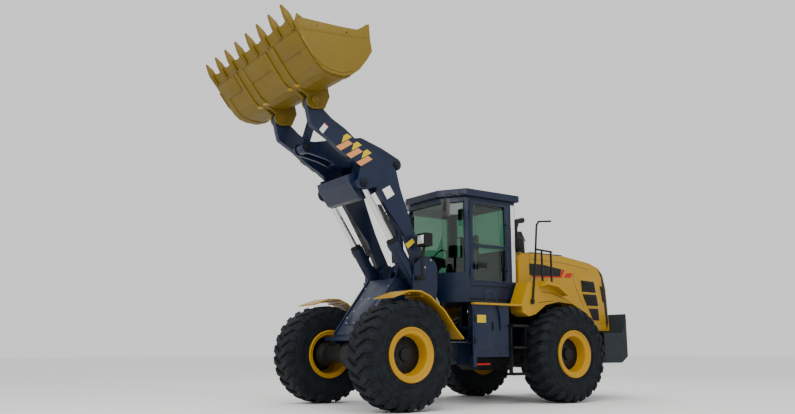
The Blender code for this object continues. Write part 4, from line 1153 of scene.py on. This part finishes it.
class LOADER_OT_sides(bpy.types.Operator):
    """Adds the tank panels, labels, lock bars and ladder treads"""

    bl_idname = "loader.sides"
    bl_label = "Tanks and ladders"

    def execute(self, context):
        panel = block((1.1, -0.24, 0.86), (1.104, 0.20, 1.50), 0.0015)
        keep_pair(panel, "tank_door", "machine", "navy_enamel")
        label = slab([(-0.18, 1.40), (0.0, 1.40), (0.0, 1.28), (-0.18, 1.28)], 1.1042, 1.1054, edge=0)
        keep_pair(label, "tank_label", "machine", "yellow_film")
        path = [(1.115, -0.009, 1.58), (1.125, -0.004, 1.77), (1.125, 0.145, 1.775)]
        path += [(1.125, 0.285, 1.48), (1.112, 0.317, 1.167)]
        keep_pair(tube(path, 0.014, 3), "grab_hoop", "machine", "navy_enamel")
        lock = tube([(1.06, -0.24, 0.64), (1.06, 0.10, 0.64)], 0.014, 3)
        keep_pair(lock, "lock_bar", "machine", "red_film")
        hinges = [block((1.103, -0.245, z), (1.112, -0.205, z + 0.09), 0.004) for z in (0.95, 1.30)]
        rows = [(1.104, -0.262, z) for z in (0.66, 0.80, 1.05, 1.20, 1.45)]
        rows += [(1.101, y, 0.80) for y in (0.28, 0.42)]
        latch = block((1.103, 0.13, 1.16), (1.116, 0.16, 1.30), 0.004)
        fittings = joined([*hinges, latch, bolts(rows, (1, 0, 0), 0.008)])
        keep_pair(fittings, "tank_fittings", "machine", "black_enamel")
        treads = []
        for z in (0.4935, 0.9135, 1.2585):
            for step in [0.024 * index for index in range(7)]:
                low = (1.015 + step, 0.515, z - 0.001)
                treads.append(block(low, (1.024 + step, 0.845, z + 0.006), 0.001))
        keep_pair(joined(treads), "ladder_treads", "machine", "black_enamel")
        return {"FINISHED"}


class LOADER_OT_hood(bpy.types.Operator):
    """Adds the hood's louvres, stripes, handle and roof strip"""

    bl_idname = "loader.hood"
    bl_label = "Hood"

    def execute(self, context):
        face = 0.8702
        body = "hood_body"
        swoosh = [(1.225, 2.32), (1.556, 2.32), (2.025, 2.264), (1.971, 2.136), (1.275, 2.11), (1.225, 2.13)]
        decal(swoosh, face, "swoosh", body, "black_film")
        slash = [(2.04, 2.265), (2.112, 2.259), (2.016, 2.113), (1.286, 2.082), (1.275, 2.102), (1.965, 2.14)]
        decal(slash, face, "red_slash", body, "red_film")
        tail = [(2.146, 2.202), (2.304, 2.211), (2.251, 2.121), (2.069, 2.12)]
        decal(tail, face, "red_tail", body, "red_film")
        outline = [(2.415, 2.189), (2.937, 2.163), (3.143, 1.317), (2.812, 1.343)]
        keep_pair(slab(outline, face, face + 0.006), "louvre_panel", body, "golden_enamel")
        windows = [
            [(2.505, 2.096), (2.864, 2.081), (2.90, 1.883), (2.54, 1.89)],
            [(2.547, 1.846), (2.914, 1.85), (2.949, 1.642), (2.653, 1.643)],
            [(2.692, 1.594), (2.946, 1.598), (2.963, 1.379), (2.798, 1.386)],
        ]
        slats = []
        backs = []
        for outline in windows:
            # painted shade: a thin black sheet behind each window's slats stands in for the shade inside the
            # louvre openings
            backs.append(slab(outline, face + 0.006, face + 0.0075, edge=0))
            (y0, z0), (y1, z1), (y2, z2), (y3, z3) = outline
            for step in range(1, 6):
                share = step / 6
                left = (y0 + (y3 - y0) * share, z0 + (z3 - z0) * share)
                right = (y1 + (y2 - y1) * share, z1 + (z2 - z1) * share)
                lower = [(y, z - 0.012) for y, z in (right, left)]
                slats.append(slab([left, right, *lower], face + 0.007, face + 0.015, edge=0.002))
        keep_pair(joined(backs), "louvre_painted_shade", body, "black_enamel")
        keep_pair(joined(slats), "louvre_slats", body, "black_enamel")
        outline = [(3.027, 2.016), (3.126, 1.993), (3.177, 1.761), (3.088, 1.713)]
        keep_pair(slab(outline, face, face + 0.010, edge=0.004), "hood_handle", body, "black_enamel")
        band = [(2.983, 2.335), (3.095, 2.235), (3.17, 1.97), (3.215, 1.35), (3.167, 1.21), (3.072, 2.17)]
        decal(band, face, "rear_band", body, "slate_enamel")
        seams = [
            tube([at(0.8715, place) for place in ((2.36, 2.24), (2.30, 2.10), (2.70, 1.36))], 0.003, 2),
            tube([at(0.8715, place) for place in ((1.26, 2.40), (2.10, 2.38), (2.72, 2.30))], 0.003, 2),
        ]
        keep_pair(joined(seams), "hood_seams", body, "rubber_seal")
        mesh_back = block((-0.52, 3.202, 1.60), (0.52, 3.21, 2.02), 0.001)
        heights = [1.62 + 0.045 * index for index in range(9)]
        bars = [block((-0.52, 3.2, z), (0.52, 3.22, z + 0.016), 0.003) for z in heights]
        keep(joined([mesh_back, *bars]), "rear_grille", body, "black_enamel")
        keep(block((-0.84, 1.31, 2.494), (0.84, 2.095, 2.528), 0.012), "roof_strip", body, "navy_enamel")
        return {"FINISHED"}


class LOADER_OT_rear(bpy.types.Operator):
    """Adds the counterweight's lamps and black lines along the fenders' grooves as painted shade"""

    bl_idname = "loader.rear"
    bl_label = "Rear"

    def execute(self, context):
        case = block((0.40, 3.800, 1.29), (0.66, 3.845, 1.40), 0.004)
        keep_pair(case, "tail_lamp_case", "machine", "black_enamel")
        lenses = (("red", 0.415, 0.52, "red_film"), ("amber", 0.54, 0.645, "salmon_film"))
        for name, start, end, finish in lenses:
            lens = block((start, 3.84, 1.305), (end, 3.849, 1.385), 0.002)
            keep_pair(lens, "tail_lamp_" + name, "machine", finish)
        # painted shade: thin black tubes along the rear fenders' grooves stand in for the shade in those
        # creases
        for name, path in (
            ("arch", [(1.219, 1.815), (1.494, 1.796), (1.786, 1.705), (1.93, 1.640)]),
            ("lower", [(1.125, 1.63), (1.30, 1.655), (1.482, 1.672)]),
        ):
            groove = tube([at(1.1605, place) for place in path], 0.004, 2)
            keep_pair(groove, "fender_groove_shade_" + name, "machine", "black_enamel")
        return {"FINISHED"}


class LOADER_PT_panel(bpy.types.Panel):
    """Sizes, colours and buttons"""

    bl_idname = "LOADER_PT_panel"
    bl_label = "Wheel loader"
    bl_space_type = "VIEW_3D"
    bl_region_type = "UI"
    bl_category = "Loader"

    def draw(self, context):
        for group in (context.scene.loader_sizes, context.scene.loader_colours):
            for name in group.__annotations__:
                self.layout.prop(group, name)
        for operator in OPERATORS:
            self.layout.operator(operator.bl_idname)


OPERATORS = [
    LOADER_OT_stage,
    LOADER_OT_frame,
    LOADER_OT_wheels,
    LOADER_OT_bucket,
    LOADER_OT_boom,
    LOADER_OT_rams,
    LOADER_OT_front,
    LOADER_OT_cab,
    LOADER_OT_seat,
    LOADER_OT_sides,
    LOADER_OT_hood,
    LOADER_OT_rear,
]
CLASSES = [LoaderColours, LoaderSizes, *OPERATORS, LOADER_PT_panel]


def register():
    for cls in CLASSES:
        bpy.utils.register_class(cls)
    bpy.types.Scene.loader_colours = bpy.props.PointerProperty(type=LoaderColours)
    bpy.types.Scene.loader_sizes = bpy.props.PointerProperty(type=LoaderSizes)


def unregister():
    del bpy.types.Scene.loader_sizes
    del bpy.types.Scene.loader_colours
    for cls in reversed(CLASSES):
        bpy.utils.unregister_class(cls)


def main():
    register()
    bpy.ops.loader.stage()
    bpy.ops.loader.frame()
    bpy.ops.loader.wheels()
    bpy.ops.loader.bucket()
    bpy.ops.loader.boom()
    bpy.ops.loader.rams()
    bpy.ops.loader.front()
    bpy.ops.loader.cab()
    bpy.ops.loader.seat()
    bpy.ops.loader.sides()
    bpy.ops.loader.hood()
    bpy.ops.loader.rear()


if __name__ == "__main__":
    main()
